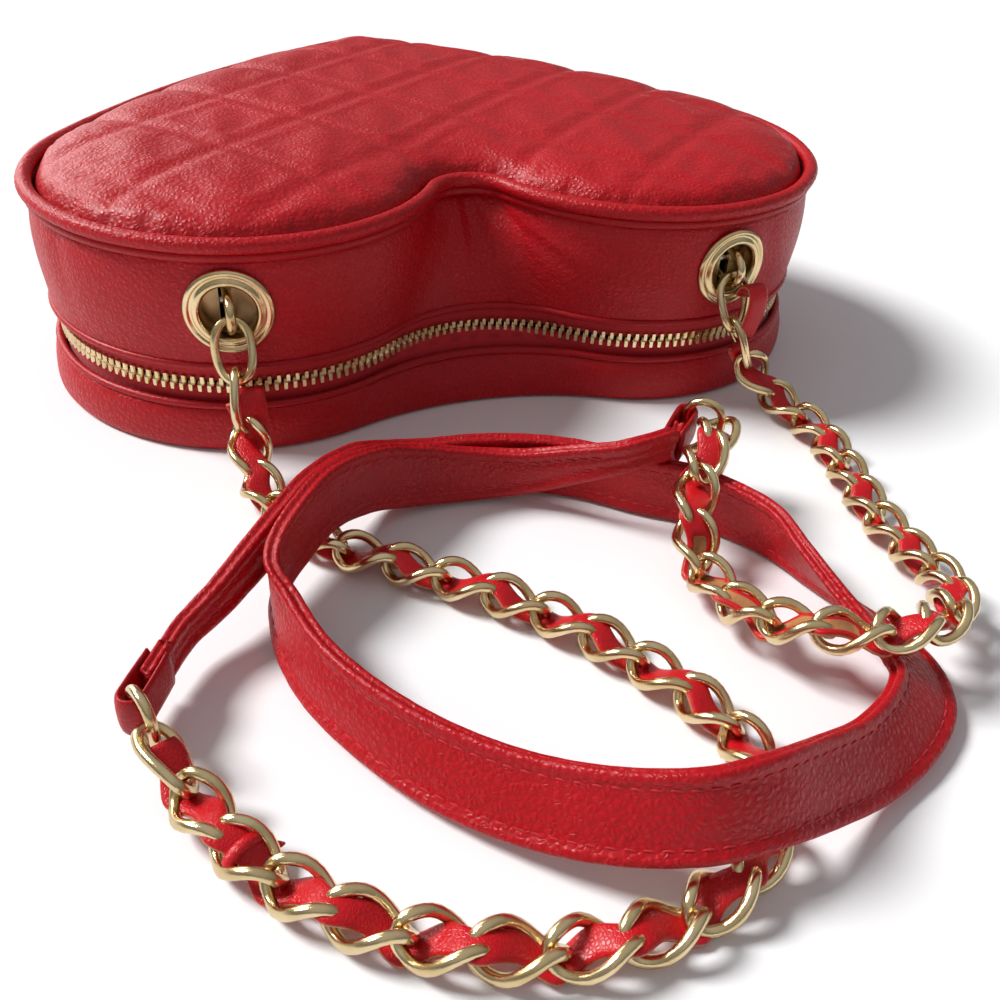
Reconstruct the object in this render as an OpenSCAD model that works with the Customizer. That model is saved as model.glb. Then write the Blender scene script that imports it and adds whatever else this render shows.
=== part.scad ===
// Heart shaped purse with a chain strap, lying on its back panel.
// The cleft of the heart points towards -Y and its tip towards +Y.
// The origin is on the floor, under the middle of the heart's length and width.

/* [Heart] */
// Width of the heart over both lobes
heart_w = 224; // [216:1:232]
// Length of the heart from the lobes to the tip
heart_l = 180; // [174:1:188]
// Radius of each lobe
lobe_r = 54; // [51:1:56]
// Radius of the long flank between lobe and tip
flank_r = 300; // [270:5:360]
// Radius of the rounded tip
tip_r = 16; // [13:1:20]
// Fillet of the cleft at the front seam, over half the gap between the lobes' circles
cleft_front_r = 8; // [6:1:14]
// The same fillet along the zip
cleft_zip_r = 36; // [26:1:46]
// The same fillet at the floor, where the leather bulges out
cleft_base_r = 96; // [76:5:126]

/* [Gusset] */
// Thickness of the gusset leather
leather_t = 1.8; // [1.4:0.1:2.2]
// Height of the parting line between the two zip rows
zip_z = 18; // [17:0.5:19]
// Height of the seam where the upper gusset ends
seam_z = 52; // [50:0.5:55]
// How far the upper gusset swells out at its middle
belly = 1.4; // [0.8:0.1:2]
// How far the lower band flares out at the floor
base_flare = 2; // [1.5:0.1:2.5]
// Radius of the rolled lips above and below the zip
lip_r = 1.1; // [0.9:0.1:1.2]

/* [Front panel] */
// Radius of the piping bead round the front panel
piping_r = 2; // [1.7:0.1:2.3]
// Radius of the narrower seam welt under the piping
welt_r = 1.2; // [1:0.1:1.4]
// Rise of the padded crown above its rim
crown_h = 8.5; // [6:0.5:11]
// Thickness of the panel at its rim
rim_t = 2; // [1.6:0.1:2.4]
// Thickness of the board and foam behind the front panel
front_board_t = 1.8; // [1.2:0.1:2.1]

/* [Back] */
// Thickness of the back panel leather
back_t = 1.8; // [1.4:0.1:2.2]
// Thickness of the stiffener on the back panel
board_t = 2; // [1.5:0.1:2.5]
// Thickness of the fabric lining
lining_t = 0.5; // [0.4:0.1:0.7]

/* [Zip] */
// Height of one row of teeth
row_h = 2.4; // [2.1:0.1:2.5]
// Gap between the closed rows, in which the slider's web runs
row_gap = 1; // [0.9:0.1:1.2]
// Depth of the teeth across the tape
row_t = 3; // [2.6:0.1:3.2]
// Thickness of the zip tape
tape_t = 0.8; // [0.6:0.1:1]
// How far the teeth stand back from the lips
row_inset = 1.4; // [1.3:0.1:1.8]
// Length of the slider
slider_l = 11; // [9:0.5:13]
// Thickness of each slider plate
plate_t = 1.2; // [1:0.1:1.4]
// Length of the puller
puller_l = 27; // [22:1:32]
// Width of the puller
puller_w = 6.4; // [5:0.2:7]

/* [Eyelets] */
// Distance of each eyelet outwards from the middle of its lobe
eyelet_past = 10; // [6:0.5:14]
// Height of the eyelets above the floor
eyelet_z = 40; // [39:0.5:41]
// Outer diameter of the eyelet's flange
eyelet_od = 22; // [20:0.5:22]
// Diameter of the hole through the eyelet
eyelet_bore = 13.4; // [13.2:0.1:14]
// Height of the rolled flange above the leather
flange_h = 1.8; // [1.5:0.1:2]

/* [Chain] */
// Outer length of a link
link_l = 17; // [16.8:0.1:17.2]
// Outer width of a link
link_w = 11; // [10.8:0.1:11.2]
// Diameter of the wire
wire_d = 2.1; // [2:0.05:2.2]
// Play between the wires of two hooked links
link_play = 0.7; // [0.5:0.1:0.9]
// Roll of each link to either side of the chain's plane
link_roll = 28; // [27:1:32]
// How far in front of the eyelets the strap is laid out
strap_reach = 150; // [146:1:156]

/* [Lace] */
// Width of the leather lace woven through the links
lace_w = 5; // [4.6:0.1:5.2]
// Thickness of the lace
lace_t = 1.1; // [0.9:0.1:1.2]
// Height of the lace above and below the chain's middle
lace_lift = 3.5; // [3.4:0.1:3.6]

/* [Shoulder pad] */
// Width of the folded leather ribbon
pad_w = 16; // [15:0.5:17]
// Thickness of the ribbon between its piped edges
pad_t = 2.7; // [2.4:0.1:3]
// Thickness of the ribbon at its piped edges
pad_edge_t = 3.6; // [3.2:0.1:3.8]
// Width of the ribbon where it folds round its end link
fold_w = 8.2; // [7:0.2:8.4]
// Thickness of the ply that folds round the end link
fold_t = 1.3; // [1:0.1:1.4]

/* [Hidden] */

leather_red = "#a81022";
deep_red = "#7d0a18";
pale_brass = "#d9c48a";
lining_tan = "#b08d62";
board_grey = "#6e655c";

// Steps along each arc of half the outline
cleft_steps = 5;
lobe_steps = 18;
flank_steps = 10;
tip_steps = 5;
half_steps = cleft_steps + lobe_steps + flank_steps + tip_steps;
piping_sides = 8;
lip_sides = 6;
round_fn = 48;
wire_fn = 32;
overrun = 1;

function unit(v) = v / norm(v);

// Clearances
seat_gap = 0.1;
cloth_gap = 0.4;
slider_gap = 0.3;

// The heart's outline
lobe_x = heart_w / 2 - lobe_r;
lobe_y = lobe_r - heart_l / 2;
lobe_gap = max(0, lobe_x - lobe_r);
tip_y = heart_l / 2;

lobe_centre = [lobe_x, lobe_y];
tip_centre = [0, tip_y - tip_r];
tip_way = unit(tip_centre - lobe_centre);
tip_far = norm(tip_centre - lobe_centre);
flank_along = (pow(tip_far, 2) + pow(flank_r - lobe_r, 2) - pow(flank_r - tip_r, 2)) / (2 * tip_far);
flank_centre = lobe_centre + tip_way * flank_along
    - [tip_way.y, -tip_way.x] * sqrt(pow(flank_r - lobe_r, 2) - pow(flank_along, 2));
flank_from = atan2(lobe_y - flank_centre.y, lobe_x - flank_centre.x);
flank_to = atan2(tip_centre.y - flank_centre.y, -flank_centre.x);
flank_step = (flank_to - flank_from) / flank_steps;

// Heights and depths that follow from the driving sizes
lower_row_z = zip_z - row_gap / 2 - row_h;
upper_row_z = zip_z + row_gap / 2 + row_h;
lower_lip_z = lower_row_z - lip_r;
upper_lip_z = upper_row_z + lip_r;
band_top = lower_lip_z - lip_r;
gusset_bottom = upper_lip_z + lip_r;
lip_in = 0.1;
belly_share = 0.625;
belly_z = gusset_bottom + (seam_z - gusset_bottom) * belly_share;
welt_z = seam_z + welt_r;
piping_out = 0.6;
piping_z = welt_z + welt_r + piping_r;
panel_z = piping_z - piping_r;
rim_z = panel_z + rim_t;
panel_in = piping_r - piping_out + cloth_gap;
board_top = back_t + board_t;
tape_back = row_inset + (row_t + tape_t) / 2;
tape_face = row_inset + (row_t - tape_t) / 2;
tape_h = 6.6;

// The slider, on the right flank just past the end of the teeth
flank_in = row_inset + row_t + slider_gap;
flank_out = lip_r - lip_in + slider_gap;
slider_h = 2 * row_h + row_gap + lip_r;
web_share = 0.7;
web_t = row_gap * web_share;
web_l_share = 0.67;
web_l = slider_l * web_l_share;
puller_t = 1.4;
bridge_t = 1.3;
bridge_w = 2.2;
pin_d = 1.6;
bridge_r = bridge_t + pin_d + 2 * slider_gap;
arm_l = bridge_r + slider_gap;
stop_l = 4;
teeth_turn = flank_to - flank_step;
slider_turn = teeth_turn - (slider_l / 2 + slider_gap) / flank_r * 180 / PI;

// The eyelets stand on the lobes
function wall_off(z) = lookup(z, [[gusset_bottom, -lip_in], [belly_z, belly], [seam_z, 0]]);
eyelet_reach = lobe_r + wall_off(eyelet_z);
eyelet_x = lobe_x + eyelet_past;
eyelet_turn = asin(eyelet_past / eyelet_reach);
eyelet_y = lobe_y - eyelet_reach * cos(eyelet_turn);
flange_sink = 0.45;
flange_half = (eyelet_od - eyelet_bore) / 4;
flange_arc = (pow(flange_half, 2) + pow(flange_h, 2)) / (2 * flange_h);
barrel_t = 0.9;
leather_bore = eyelet_bore + 2 * barrel_t + cloth_gap;
washer_t = 0.8;
washer_sag = 1.7;
disc_t = 1.2;
disc_over = 2.3;
disc_d = eyelet_bore + 2 * disc_over;
slot_gap = 0.5;
stop_pin_d = 2.6;
barrel_l = leather_t + washer_sag + washer_t + seat_gap;

// The chain
wire_r = (link_w - wire_d) / 2;
apex = (link_l - wire_d) / 2;
pitch = link_l - 2 * wire_d - link_play;
apex_past = apex - pitch / 2;
hook_lean = 23;
hang_lean = 28;
hook_clear = 5.25;
bow_centre = [eyelet_x, eyelet_y - hook_clear + wire_r, eyelet_z];
hook_way = [0, -sin(hook_lean), -cos(hook_lean)];
hook_top = bow_centre + (wire_r - apex_past) * hook_way;
chain_top = hook_top + pitch * hook_way;
chain_half = lace_lift + lace_t / 2;
floor_gap = 0.3;
floor_z = chain_half + floor_gap;
spline_steps = 8;
lace_steps = 5;
level_pull = 0.5;

// One round stretch of the outline, without its last point
function arc(centre, r, from, to, steps) =
    [for (i = [0:steps - 1]) let (a = from + (to - from) * i / steps) centre + r * [cos(a), sin(a)]];

// Right half of the heart from the cleft to the tip, grown outwards by off
function half_heart(off, cleft_r) =
    let (
        cleft = [0, lobe_y - sqrt(pow(lobe_r + cleft_r, 2) - pow(lobe_x, 2))],
        turn = atan2(lobe_y - cleft.y, lobe_x)
    )
    concat(
        arc(cleft, cleft_r - off, 90, turn, cleft_steps),
        arc(lobe_centre, lobe_r + off, turn - 180, flank_from, lobe_steps),
        arc(flank_centre, flank_r + off, flank_from, flank_to, flank_steps),
        arc(tip_centre, tip_r + off, flank_to, 90, tip_steps),
        [[0, tip_y + off]]
    );

function heart(off, cleft_r) =
    let (half = half_heart(off, cleft_r))
    concat(half, [for (i = [half_steps - 1:-1:1]) [-half[i].x, half[i].y]]);

function cleft_r(z) =
    lobe_gap + lookup(z, [[0, cleft_base_r], [zip_z, cleft_zip_r], [seam_z, cleft_front_r]]);

// The outline at one height, as points in space
function level(off, z) = [for (p = heart(off, cleft_r(z))) [p.x, p.y, z]];

// A closed section swept once round the heart. The section is a list of
// [outward, height] points in counterclockwise order. Its two halves are cut along
// the same diagonals, so that a thin wall keeps its thickness where the cleft twists.
module around(section) {
    rows = [for (p = section) level(p.x, p.y)];
    n = len(rows[0]);
    m = len(rows);
    polyhedron(
        [for (r = rows) each r],
        [for (j = [0:m - 1]) for (i = [0:n - 1])
            let (a = j * n + i, b = j * n + (i + 1) % n, c = (j + 1) % m * n + (i + 1) % n, d = (j + 1) % m * n + i)
            each j < m / 2 ? [[a, c, b], [a, d, c]] : [[a, d, b], [b, d, c]]]
    );
}

// The same section along a part of the outline, with both ends closed
module along(section, first, last) {
    rows = [for (p = section) level(p.x, p.y)];
    n = len(rows[0]);
    m = len(rows);
    tube([for (i = [first:last]) [for (j = [m - 1:-1:0]) rows[j][(i + n) % n]]]);
}

// A skin over a row of rings with flat ends
module tube(rings) {
    m = len(rings[0]);
    last = len(rings) - 1;
    polyhedron(
        [for (r = rings) each r],
        concat(
            [for (j = [0:last - 1]) for (i = [0:m - 1])
                let (a = j * m + i, b = j * m + (i + 1) % m, c = (j + 1) * m + (i + 1) % m, d = (j + 1) * m + i)
                each [[a, d, c], [a, c, b]]],
            [for (i = [1:m - 2]) [0, i, i + 1]],
            [for (i = [1:m - 2]) [last * m, last * m + i + 1, last * m + i]]
        )
    );
}

// A leather wall: its outer points from the bottom up, and its thickness
function wall(outer, t) = concat(outer, [for (i = [len(outer) - 1:-1:0]) [outer[i].x - t, outer[i].y]]);

function bead(off, z, r, n) =
    [for (i = [0:n - 1]) let (a = (i + 0.5) * 360 / n) [off + r * cos(a), z + r * sin(a)]];

function band(from_off, to_off, from_z, to_z) =
    [[to_off, from_z], [to_off, to_z], [from_off, to_z], [from_off, from_z]];

// Back shell

module back_panel() {
    color(leather_red) linear_extrude(back_t) polygon(heart(base_flare - leather_t - cloth_gap, cleft_r(back_t)));
}

module back_board() {
    color(board_grey) translate([0, 0, back_t])
        linear_extrude(board_t) polygon(heart(-leather_t, cleft_r(board_top)));
}

module base_lining() {
    color(lining_tan) translate([0, 0, board_top])
        linear_extrude(lining_t) polygon(heart(-leather_t - cloth_gap, cleft_r(board_top + lining_t)));
}

module lower_band() {
    color(leather_red) around(wall([[base_flare, 0], [base_flare - lip_in, band_top / 2], [0, band_top]], leather_t));
}

module lower_lip() {
    color(deep_red) around(bead(-lip_in, lower_lip_z, lip_r, lip_sides));
}

module lower_lining() {
    inner = -leather_t - 2 * cloth_gap - tape_t * 2;
    color(lining_tan) around(wall([[inner, board_top + lining_t], [inner, band_top]], lining_t));
}

// The teeth stop short of the tip by this many steps of the outline
tooth_end = tip_steps + 1;
stop_end = tip_steps;

// A row of teeth is drawn as separate blocks, one on each step of the outline. The
// shares say where on its step a block starts and ends.
block_shares = [0.02, 0.98];

module zip_row(from_z, to_z) {
    corners = [for (p = band(-row_inset - row_t, -row_inset, from_z, to_z)) level(p.x, p.y)];
    n = len(corners[0]);
    m = len(corners);
    color(pale_brass) for (i = [tooth_end - half_steps:half_steps - tooth_end - 1])
        tube([for (share = block_shares) [for (j = [m - 1:-1:0])
            corners[j][(i + n) % n] * (1 - share) + corners[j][(i + 1 + n) % n] * share]]);
}

module lower_zip_teeth() { zip_row(lower_row_z, lower_row_z + row_h); }

module upper_zip_teeth() { zip_row(upper_row_z - row_h, upper_row_z); }

module lower_zip_tape() {
    color(leather_red) around(band(-tape_back, -tape_face, lower_row_z - tape_h, lower_row_z));
}

module upper_zip_tape() {
    color(leather_red) around(band(-tape_back, -tape_face, upper_row_z, upper_row_z + tape_h));
}

// Local X points out of the flank and local Y towards the tip
module on_flank(side, turn) {
    mirror([side < 0 ? 1 : 0, 0, 0]) translate([flank_centre.x, flank_centre.y, 0]) rotate([0, 0, turn])
        translate([flank_r, 0, 0]) children();
}

module zip_end_stops() {
    color(pale_brass) for (side = [-1, 1])
        on_flank(side, teeth_turn) translate([-row_inset - row_t, cloth_gap, lower_row_z])
            cube([row_t, stop_l, row_h + row_gap]);
}

module zip_slider() {
    out = flank_out + plate_t;
    color(pale_brass) on_flank(1, slider_turn) {
        for (x = [flank_out, -flank_in - plate_t]) translate([x, -slider_l / 2, zip_z - slider_h / 2])
            cube([plate_t, slider_l, slider_h]);
        translate([-flank_in, -web_l / 2, zip_z - web_t / 2])
            cube([flank_in + flank_out, web_l, web_t]);
        translate([out, 0, zip_z - bridge_w / 2]) difference() {
            cylinder(r = bridge_r, h = bridge_w, $fn = round_fn);
            translate([0, 0, -overrun]) cylinder(r = bridge_r - bridge_t, h = bridge_w + 2 * overrun, $fn = round_fn);
            translate([-2 * bridge_r, -bridge_r, -overrun]) cube([2 * bridge_r, 2 * bridge_r, bridge_w + 2 * overrun]);
        }
    }
}

// Its cross pin lies under the slider's bridge, and its arms pass on either side of it
module zip_puller() {
    pin_out = flank_out + plate_t + pin_d / 2 + slider_gap;
    color(pale_brass) on_flank(1, slider_turn) translate([pin_out, 0, zip_z]) {
        translate([0, 0, -puller_w / 2]) cylinder(d = pin_d, h = puller_w, $fn = wire_fn);
        translate([-puller_t / 2, 0, 0]) rotate([90, 0, 90]) linear_extrude(puller_t) difference() {
            union() {
                translate([-puller_l + puller_w / 2, 0]) circle(d = puller_w, $fn = round_fn);
                translate([-puller_l + puller_w / 2, -puller_w / 2])
                    square([puller_l - puller_w / 2 + pin_d / 2, puller_w]);
            }
            translate([-arm_l, -bridge_w / 2 - slider_gap])
                square([arm_l + pin_d / 2 + overrun, bridge_w + 2 * slider_gap]);
        }
    }
}

module tip_gusset() {
    color(leather_red) along(
        band(-lip_r - lip_in, -lip_in, lower_lip_z + lip_r, upper_lip_z - lip_r - cloth_gap),
        half_steps - stop_end, half_steps + stop_end
    );
}

// Front shell

module front_panel() {
    rim = level(-panel_in, panel_z);
    n = len(rim);
    middle = [0, 0, panel_z];
    crown_shares = [1, 0.975, 0.93, 0.84, 0.68, 0.42];
    rows = concat([rim], [for (s = crown_shares)
        [for (p = rim) [p.x * s, p.y * s, rim_z + crown_h * sqrt(1 - pow(s, 4))]]]);
    last = len(rows) - 1;
    points = concat([for (r = rows) each r], [[0, 0, rim_z + crown_h], middle]);
    color(leather_red) polyhedron(points, concat(
        [for (j = [0:last - 1]) for (i = [0:n - 1])
            let (a = j * n + i, b = j * n + (i + 1) % n, c = (j + 1) * n + (i + 1) % n, d = (j + 1) * n + i)
            each [[a, c, b], [a, d, c]]],
        [for (i = [0:n - 1]) [last * n + i, len(points) - 2, last * n + (i + 1) % n]],
        [for (i = [0:n - 1]) [i, (i + 1) % n, len(points) - 1]]
    ));
}

module front_board() {
    color(board_grey) translate([0, 0, panel_z - front_board_t])
        linear_extrude(front_board_t) polygon(heart(-leather_t - welt_r, cleft_r(seam_z)));
}

module panel_piping() {
    color(leather_red) around(bead(piping_out, piping_z, piping_r, piping_sides));
}

module seam_welt() {
    color(deep_red) around(bead(0, welt_z, welt_r, lip_sides));
}

module at_eyelet(side) {
    translate([side * eyelet_x, eyelet_y, eyelet_z])
        rotate([0, 0, side * eyelet_turn]) rotate([90, 0, 0]) children();
}

module upper_gusset() {
    color(leather_red) difference() {
        around(wall([[-lip_in, gusset_bottom], [belly, belly_z], [0, seam_z]], leather_t));
        for (side = [-1, 1]) at_eyelet(side) {
            translate([0, 0, -flange_sink]) cylinder(d = eyelet_od + seat_gap, h = flange_h, $fn = round_fn);
            translate([0, 0, -leather_t - overrun - washer_sag])
                cylinder(d = leather_bore, h = leather_t + 2 * overrun + washer_sag, $fn = round_fn);
        }
    }
}

module upper_lip() {
    color(deep_red) around(bead(-lip_in, upper_lip_z, lip_r, lip_sides));
}

module upper_lining() {
    inner = -leather_t - 2 * cloth_gap - tape_t * 2;
    color(lining_tan) difference() {
        around(wall([[inner, gusset_bottom], [inner, seam_z - front_board_t]], lining_t));
        for (side = [-1, 1]) at_eyelet(side) translate([0, 0, -disc_d])
            cylinder(d = disc_d + 2 * cloth_gap, h = disc_d, $fn = round_fn);
    }
}

// A rolled flange on a short barrel that goes through the leather
module eyelet(side) {
    mid = (eyelet_bore + eyelet_od) / 4;
    color(pale_brass) at_eyelet(side) rotate_extrude($fn = round_fn) {
        translate([mid, seat_gap - flange_sink]) intersection() {
            translate([0, flange_h - flange_arc]) circle(r = flange_arc, $fn = wire_fn);
            translate([-flange_half, 0]) square([2 * flange_half, flange_h]);
        }
        translate([eyelet_bore / 2, -barrel_l]) square([barrel_t, barrel_l + flange_h / 2]);
    }
}

module left_eyelet() { eyelet(-1); }

module right_eyelet() { eyelet(1); }

module eyelet_washer(side) {
    color(pale_brass) at_eyelet(side) translate([0, 0, -barrel_l]) difference() {
        cylinder(d = disc_d, h = washer_t, $fn = round_fn);
        translate([0, 0, -overrun]) cylinder(
            d = eyelet_bore + 2 * barrel_t + 2 * seat_gap, h = washer_t + 2 * overrun, $fn = round_fn
        );
    }
}

module left_eyelet_washer() { eyelet_washer(-1); }

module right_eyelet_washer() { eyelet_washer(1); }

// Chain hardware. A link lies along X, flat in the XY plane.
module link() {
    for (end = [0, 1]) mirror([end, 0, 0]) translate([(link_l - link_w) / 2, 0, 0])
        rotate([0, 0, -90]) rotate_extrude(angle = 180, $fn = round_fn)
            translate([wire_r, 0]) circle(d = wire_d, $fn = wire_fn);
    for (side = [-1, 1]) translate([-(link_l - link_w) / 2, side * wire_r, 0])
        rotate([0, 90, 0]) cylinder(d = wire_d, h = link_l - link_w, $fn = wire_fn);
}

// Puts a link between two joints of the chain, with its width along side
module place(from, to, side, roll) {
    t = unit(to - from);
    s = unit(side - (side * t) * t);
    v = s * cos(roll) + cross(t, s) * sin(roll);
    w = cross(t, v);
    c = (from + to) / 2;
    multmatrix([[t.x, v.x, w.x, c.x], [t.y, v.y, w.y, c.y], [t.z, v.z, w.z, c.z], [0, 0, 0, 1]]) link();
}

// The anchor link goes through the eyelet, with a disc and a pin behind it. The hook
// link hangs in its outer bow and turns about the bow's centre.
anchor_out = bow_centre - [0, wire_r - apex_past, 0];
anchor_in = anchor_out + [0, pitch, 0];

module stop_discs() {
    color(pale_brass) for (side = [-1, 1]) at_eyelet(side)
        translate([0, 0, -barrel_l - seat_gap - disc_t]) difference() {
            cylinder(d = disc_d, h = disc_t, $fn = round_fn);
            translate([side * (barrel_l + disc_t) * tan(eyelet_turn), 0, 0])
                cube([wire_d + 2 * slot_gap, link_w + 2 * slot_gap, 3 * disc_t], center = true);
        }
}

module stop_pins() {
    color(pale_brass) for (side = [-1, 1]) at_eyelet(side)
        translate([-disc_d / 2, 0, -barrel_l - 2 * seat_gap - disc_t - stop_pin_d / 2])
            rotate([0, 90, 0]) cylinder(d = stop_pin_d, h = disc_d, $fn = wire_fn);
}

module anchor_links() {
    color(pale_brass) for (side = [-1, 1])
        place(mirrored(anchor_in, side), mirrored(anchor_out, side), [0, 0, 1], 0);
}

module hook_links() {
    color(pale_brass) for (side = [-1, 1])
        place(mirrored(hook_top, side), mirrored(chain_top, side), [1, 0, 0], 0);
}

function mirrored(p, side) = [side * p.x, p.y, p.z];

// Where the strap lies. A row gives a share of the eyelets' place along X, a share
// of the strap's reach, and a share of the pad's width above where it rests.
lay_start = 4;
function lay(row, rest_z) =
    [row[0] * eyelet_x, eyelet_y - lay_start - row[1] * strap_reach, rest_z + row[2] * pad_w];

left_lay_shares = [
    [-0.99, 0.1, 0.2], [-0.96, 0.18, 0.01], [-0.88, 0.25, 0], [-0.78, 0.31, 0], [-0.6, 0.37, 0],
    [-0.42, 0.435, 0], [-0.26, 0.5, 0], [-0.12, 0.57, 0], [0.01, 0.655, 0], [0.11, 0.74, 0],
    [0.17, 0.825, 0], [0.14, 0.91, 0], [0.02, 0.975, 0], [-0.16, 1.015, 0], [-0.36, 1.03, 0],
    [-0.57, 1.02, 0], [-0.78, 0.985, 0], [-0.98, 0.93, 0], [-1.15, 0.855, 0], [-1.28, 0.77, 0.05],
    [-1.36, 0.69, 0.2], [-1.4, 0.645, 0.31]
];
right_lay_shares = [
    [1.16, 0.065, 0.2], [1.24, 0.13, 0.01], [1.25, 0.22, 0], [1.2, 0.33, 0], [1.16, 0.43, 0],
    [1.145, 0.52, 0.03], [1.135, 0.6, 0.15], [1.07, 0.68, 0.36], [0.94, 0.737, 0.57], [0.775, 0.76, 0.69],
    [0.605, 0.747, 0.7], [0.465, 0.7, 0.54], [0.385, 0.63, 0.3], [0.355, 0.555, 0.14], [0.36, 0.48, 0.32],
    [0.42, 0.41, 0.82], [0.51, 0.355, 1.08], [0.6, 0.31, 1.08], [0.67, 0.275, 1]
];

function catmull(a, b, c, d, t) =
    (2 * b + (c - a) * t + (2 * a - 5 * b + 4 * c - d) * t * t + (3 * b - a - 3 * c + d) * t * t * t) / 2;

function smooth(route) = [
    for (i = [0:len(route) - 2]) for (k = [0:spline_steps - 1])
        catmull(route[max(i - 1, 0)], route[i], route[i + 1], route[min(i + 2, len(route) - 1)], k / spline_steps),
    route[len(route) - 1]
];

function place_of(p) = [p.x, p.y, p.z];
function flat_way(from, to) = unit([to.x - from.x, to.y - from.y, 0]);

// Length run at each point of a route
function run(path) = [
    for (i = 0, s = 0; i < len(path);
        s = s + norm(place_of(path[min(i + 1, len(path) - 1)]) - place_of(path[i])), i = i + 1) s
];

// Points at equal steps along a route, no longer than step
function walk(path, step) =
    let (
        s = run(path),
        tables = [for (k = [0:len(path[0]) - 1]) [for (i = [0:len(path) - 1]) [s[i], path[i][k]]]],
        whole = s[len(s) - 1],
        count = ceil(whole / step)
    )
    [for (j = [0:count]) [for (table = tables) lookup(whole * j / count, table)]];

function joints(side, shares) =
    let (
        top = mirrored(chain_top, side),
        rest = [for (row = shares) lay(row, floor_z)],
        out = flat_way(top, rest[0])
    )
    walk(smooth(concat([top, top + pitch * (out * sin(hang_lean) - [0, 0, cos(hang_lean)])], rest)), pitch);

left_joints = joints(-1, left_lay_shares);
right_joints = joints(1, right_lay_shares);

// The sideways direction of each link, carried along the chain and kept level
function sides(path, k, s) =
    k > len(path) - 2 ? [] :
    let (
        t = unit(path[k + 1] - path[k]),
        flat = cross([0, 0, 1], t),
        near = flat * s < 0 ? -flat : flat,
        c = s + level_pull * near,
        u = unit(c - (c * t) * t)
    )
    concat([u], sides(path, k + 1, u));

left_sides = sides(left_joints, 0, [1, 0, 0]);
right_sides = sides(right_joints, 0, [1, 0, 0]);

// The first link hangs on edge, and the rest lie rolled to either side
function roll(k) = k == 0 ? 90 : k % 2 == 0 ? -link_roll : link_roll;

module chain(path, across) {
    color(pale_brass) for (k = [0:len(path) - 2]) place(path[k], path[k + 1], across[k], roll(k));
}

module left_chain() { chain(left_joints, left_sides); }

module right_chain() { chain(right_joints, right_sides); }

// The lace goes over one joint of the chain and under the next
function between(list, u) =
    let (k = min(floor(u), len(list) - 1), f = u - k, n = min(k + 1, len(list) - 1))
    list[k] * (1 - f) + list[n] * f;

module lace(path, across, first, last) {
    tangents = [for (k = [0:len(path) - 2]) unit(path[k + 1] - path[k])];
    tube([for (i = [0:(last - first) * lace_steps])
        let (
            u = first + i / lace_steps,
            base = between(path, u),
            t = unit(between(tangents, u - 0.5)),
            side = between(across, u - 0.5),
            s = unit(side - (side * t) * t),
            up = cross(t, s),
            h = lace_lift * cos(180 * u),
            climb = -lace_lift * PI * sin(180 * u),
            n = unit(cross(t * pitch + up * climb, s))
        )
        [for (c = [[-1, -1], [1, -1], [1, 1], [-1, 1]])
            base + up * h + s * c.x * lace_w / 2 + n * c.y * lace_t / 2]]);
}

lace_from = 1.4;
lace_short = 1.6;

module left_lace() { color(leather_red) lace(left_joints, left_sides, lace_from, len(left_joints) - lace_short); }

module right_lace() { color(leather_red) lace(right_joints, right_sides, lace_from, len(right_joints) - lace_short); }

// End links stand on edge. The last chain link hooks one long side of each, and the
// pad folds round the other. The right one is turned aside and hangs a little lower.
right_end_turn = 95;
right_end_drop = 2;

function end_way(path) = unit(path[len(path) - 1] - path[len(path) - 2]);
function near_rail(path, drop) = path[len(path) - 1] - apex_past * end_way(path) - [0, 0, drop];
function far_rail(path, turn, drop) =
    let (t = end_way(path), a = atan2(t.y, t.x) + turn)
    near_rail(path, drop) + 2 * wire_r * [cos(a), sin(a), 0];

left_near = near_rail(left_joints, 0);
left_far = far_rail(left_joints, 0, 0);
right_near = near_rail(right_joints, right_end_drop);
right_far = far_rail(right_joints, right_end_turn, right_end_drop);

module end_link(near, far) {
    c = (near + far) / 2;
    place(c - [0, 0, pitch / 2], c + [0, 0, pitch / 2], far - near, 0);
}

module end_links() {
    color(pale_brass) {
        end_link(left_near, left_far);
        end_link(right_near, right_far);
    }
}

// The pad's lower edge: shares as above, and its lean inwards in degrees
pad_rest = 0.3;
pad_lay_shares = [
    [-1.36, 0.53, 0.25, 0], [-1.28, 0.475, 0.3, 0], [-1.17, 0.435, 0.4, 0], [-1.06, 0.385, 0.5, 0],
    [-0.96, 0.335, 0.53, 0], [-0.86, 0.285, 0.53, 0], [-0.73, 0.235, 0.4, 0], [-0.57, 0.195, 0.15, 0],
    [-0.4, 0.178, 0.01, 0], [-0.2, 0.182, 0, 0], [0, 0.205, 0, 0], [0.17, 0.243, 0, 0],
    [0.33, 0.3, 0, 0], [0.48, 0.345, 0, 0], [0.6, 0.4, 0, 5], [0.7, 0.47, 0, 12],
    [0.76, 0.55, 0, 28], [0.83, 0.63, 0, 46], [0.89, 0.7, 0, 58], [0.9, 0.775, 0, 62],
    [0.83, 0.845, 0, 58], [0.67, 0.9, 0, 50], [0.46, 0.94, 0.03, 42], [0.24, 0.97, 0.28, 38],
    [0.04, 0.99, 0.53, 32], [-0.16, 0.99, 0.56, 30], [-0.37, 0.95, 0.38, 32], [-0.56, 0.88, 0.15, 30],
    [-0.74, 0.79, 0.03, 25], [-0.88, 0.69, 0, 18], [-0.98, 0.59, 0, 15], [-1.02, 0.49, 0.03, 12],
    [-1, 0.41, 0.25, 5], [-0.9, 0.36, 0.5, 0], [-0.78, 0.3, 0.53, -3], [-0.64, 0.257, 0.4, -5],
    [-0.5, 0.222, 0.15, -5], [-0.33, 0.21, 0.04, -5], [-0.15, 0.22, 0.08, -5], [0.01, 0.25, 0.3, 0],
    [0.14, 0.295, 0.68, 0], [0.27, 0.325, 0.98, 0], [0.4, 0.32, 1.05, 0]
];
tongue_l = 6;
pad_step = 8;
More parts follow.
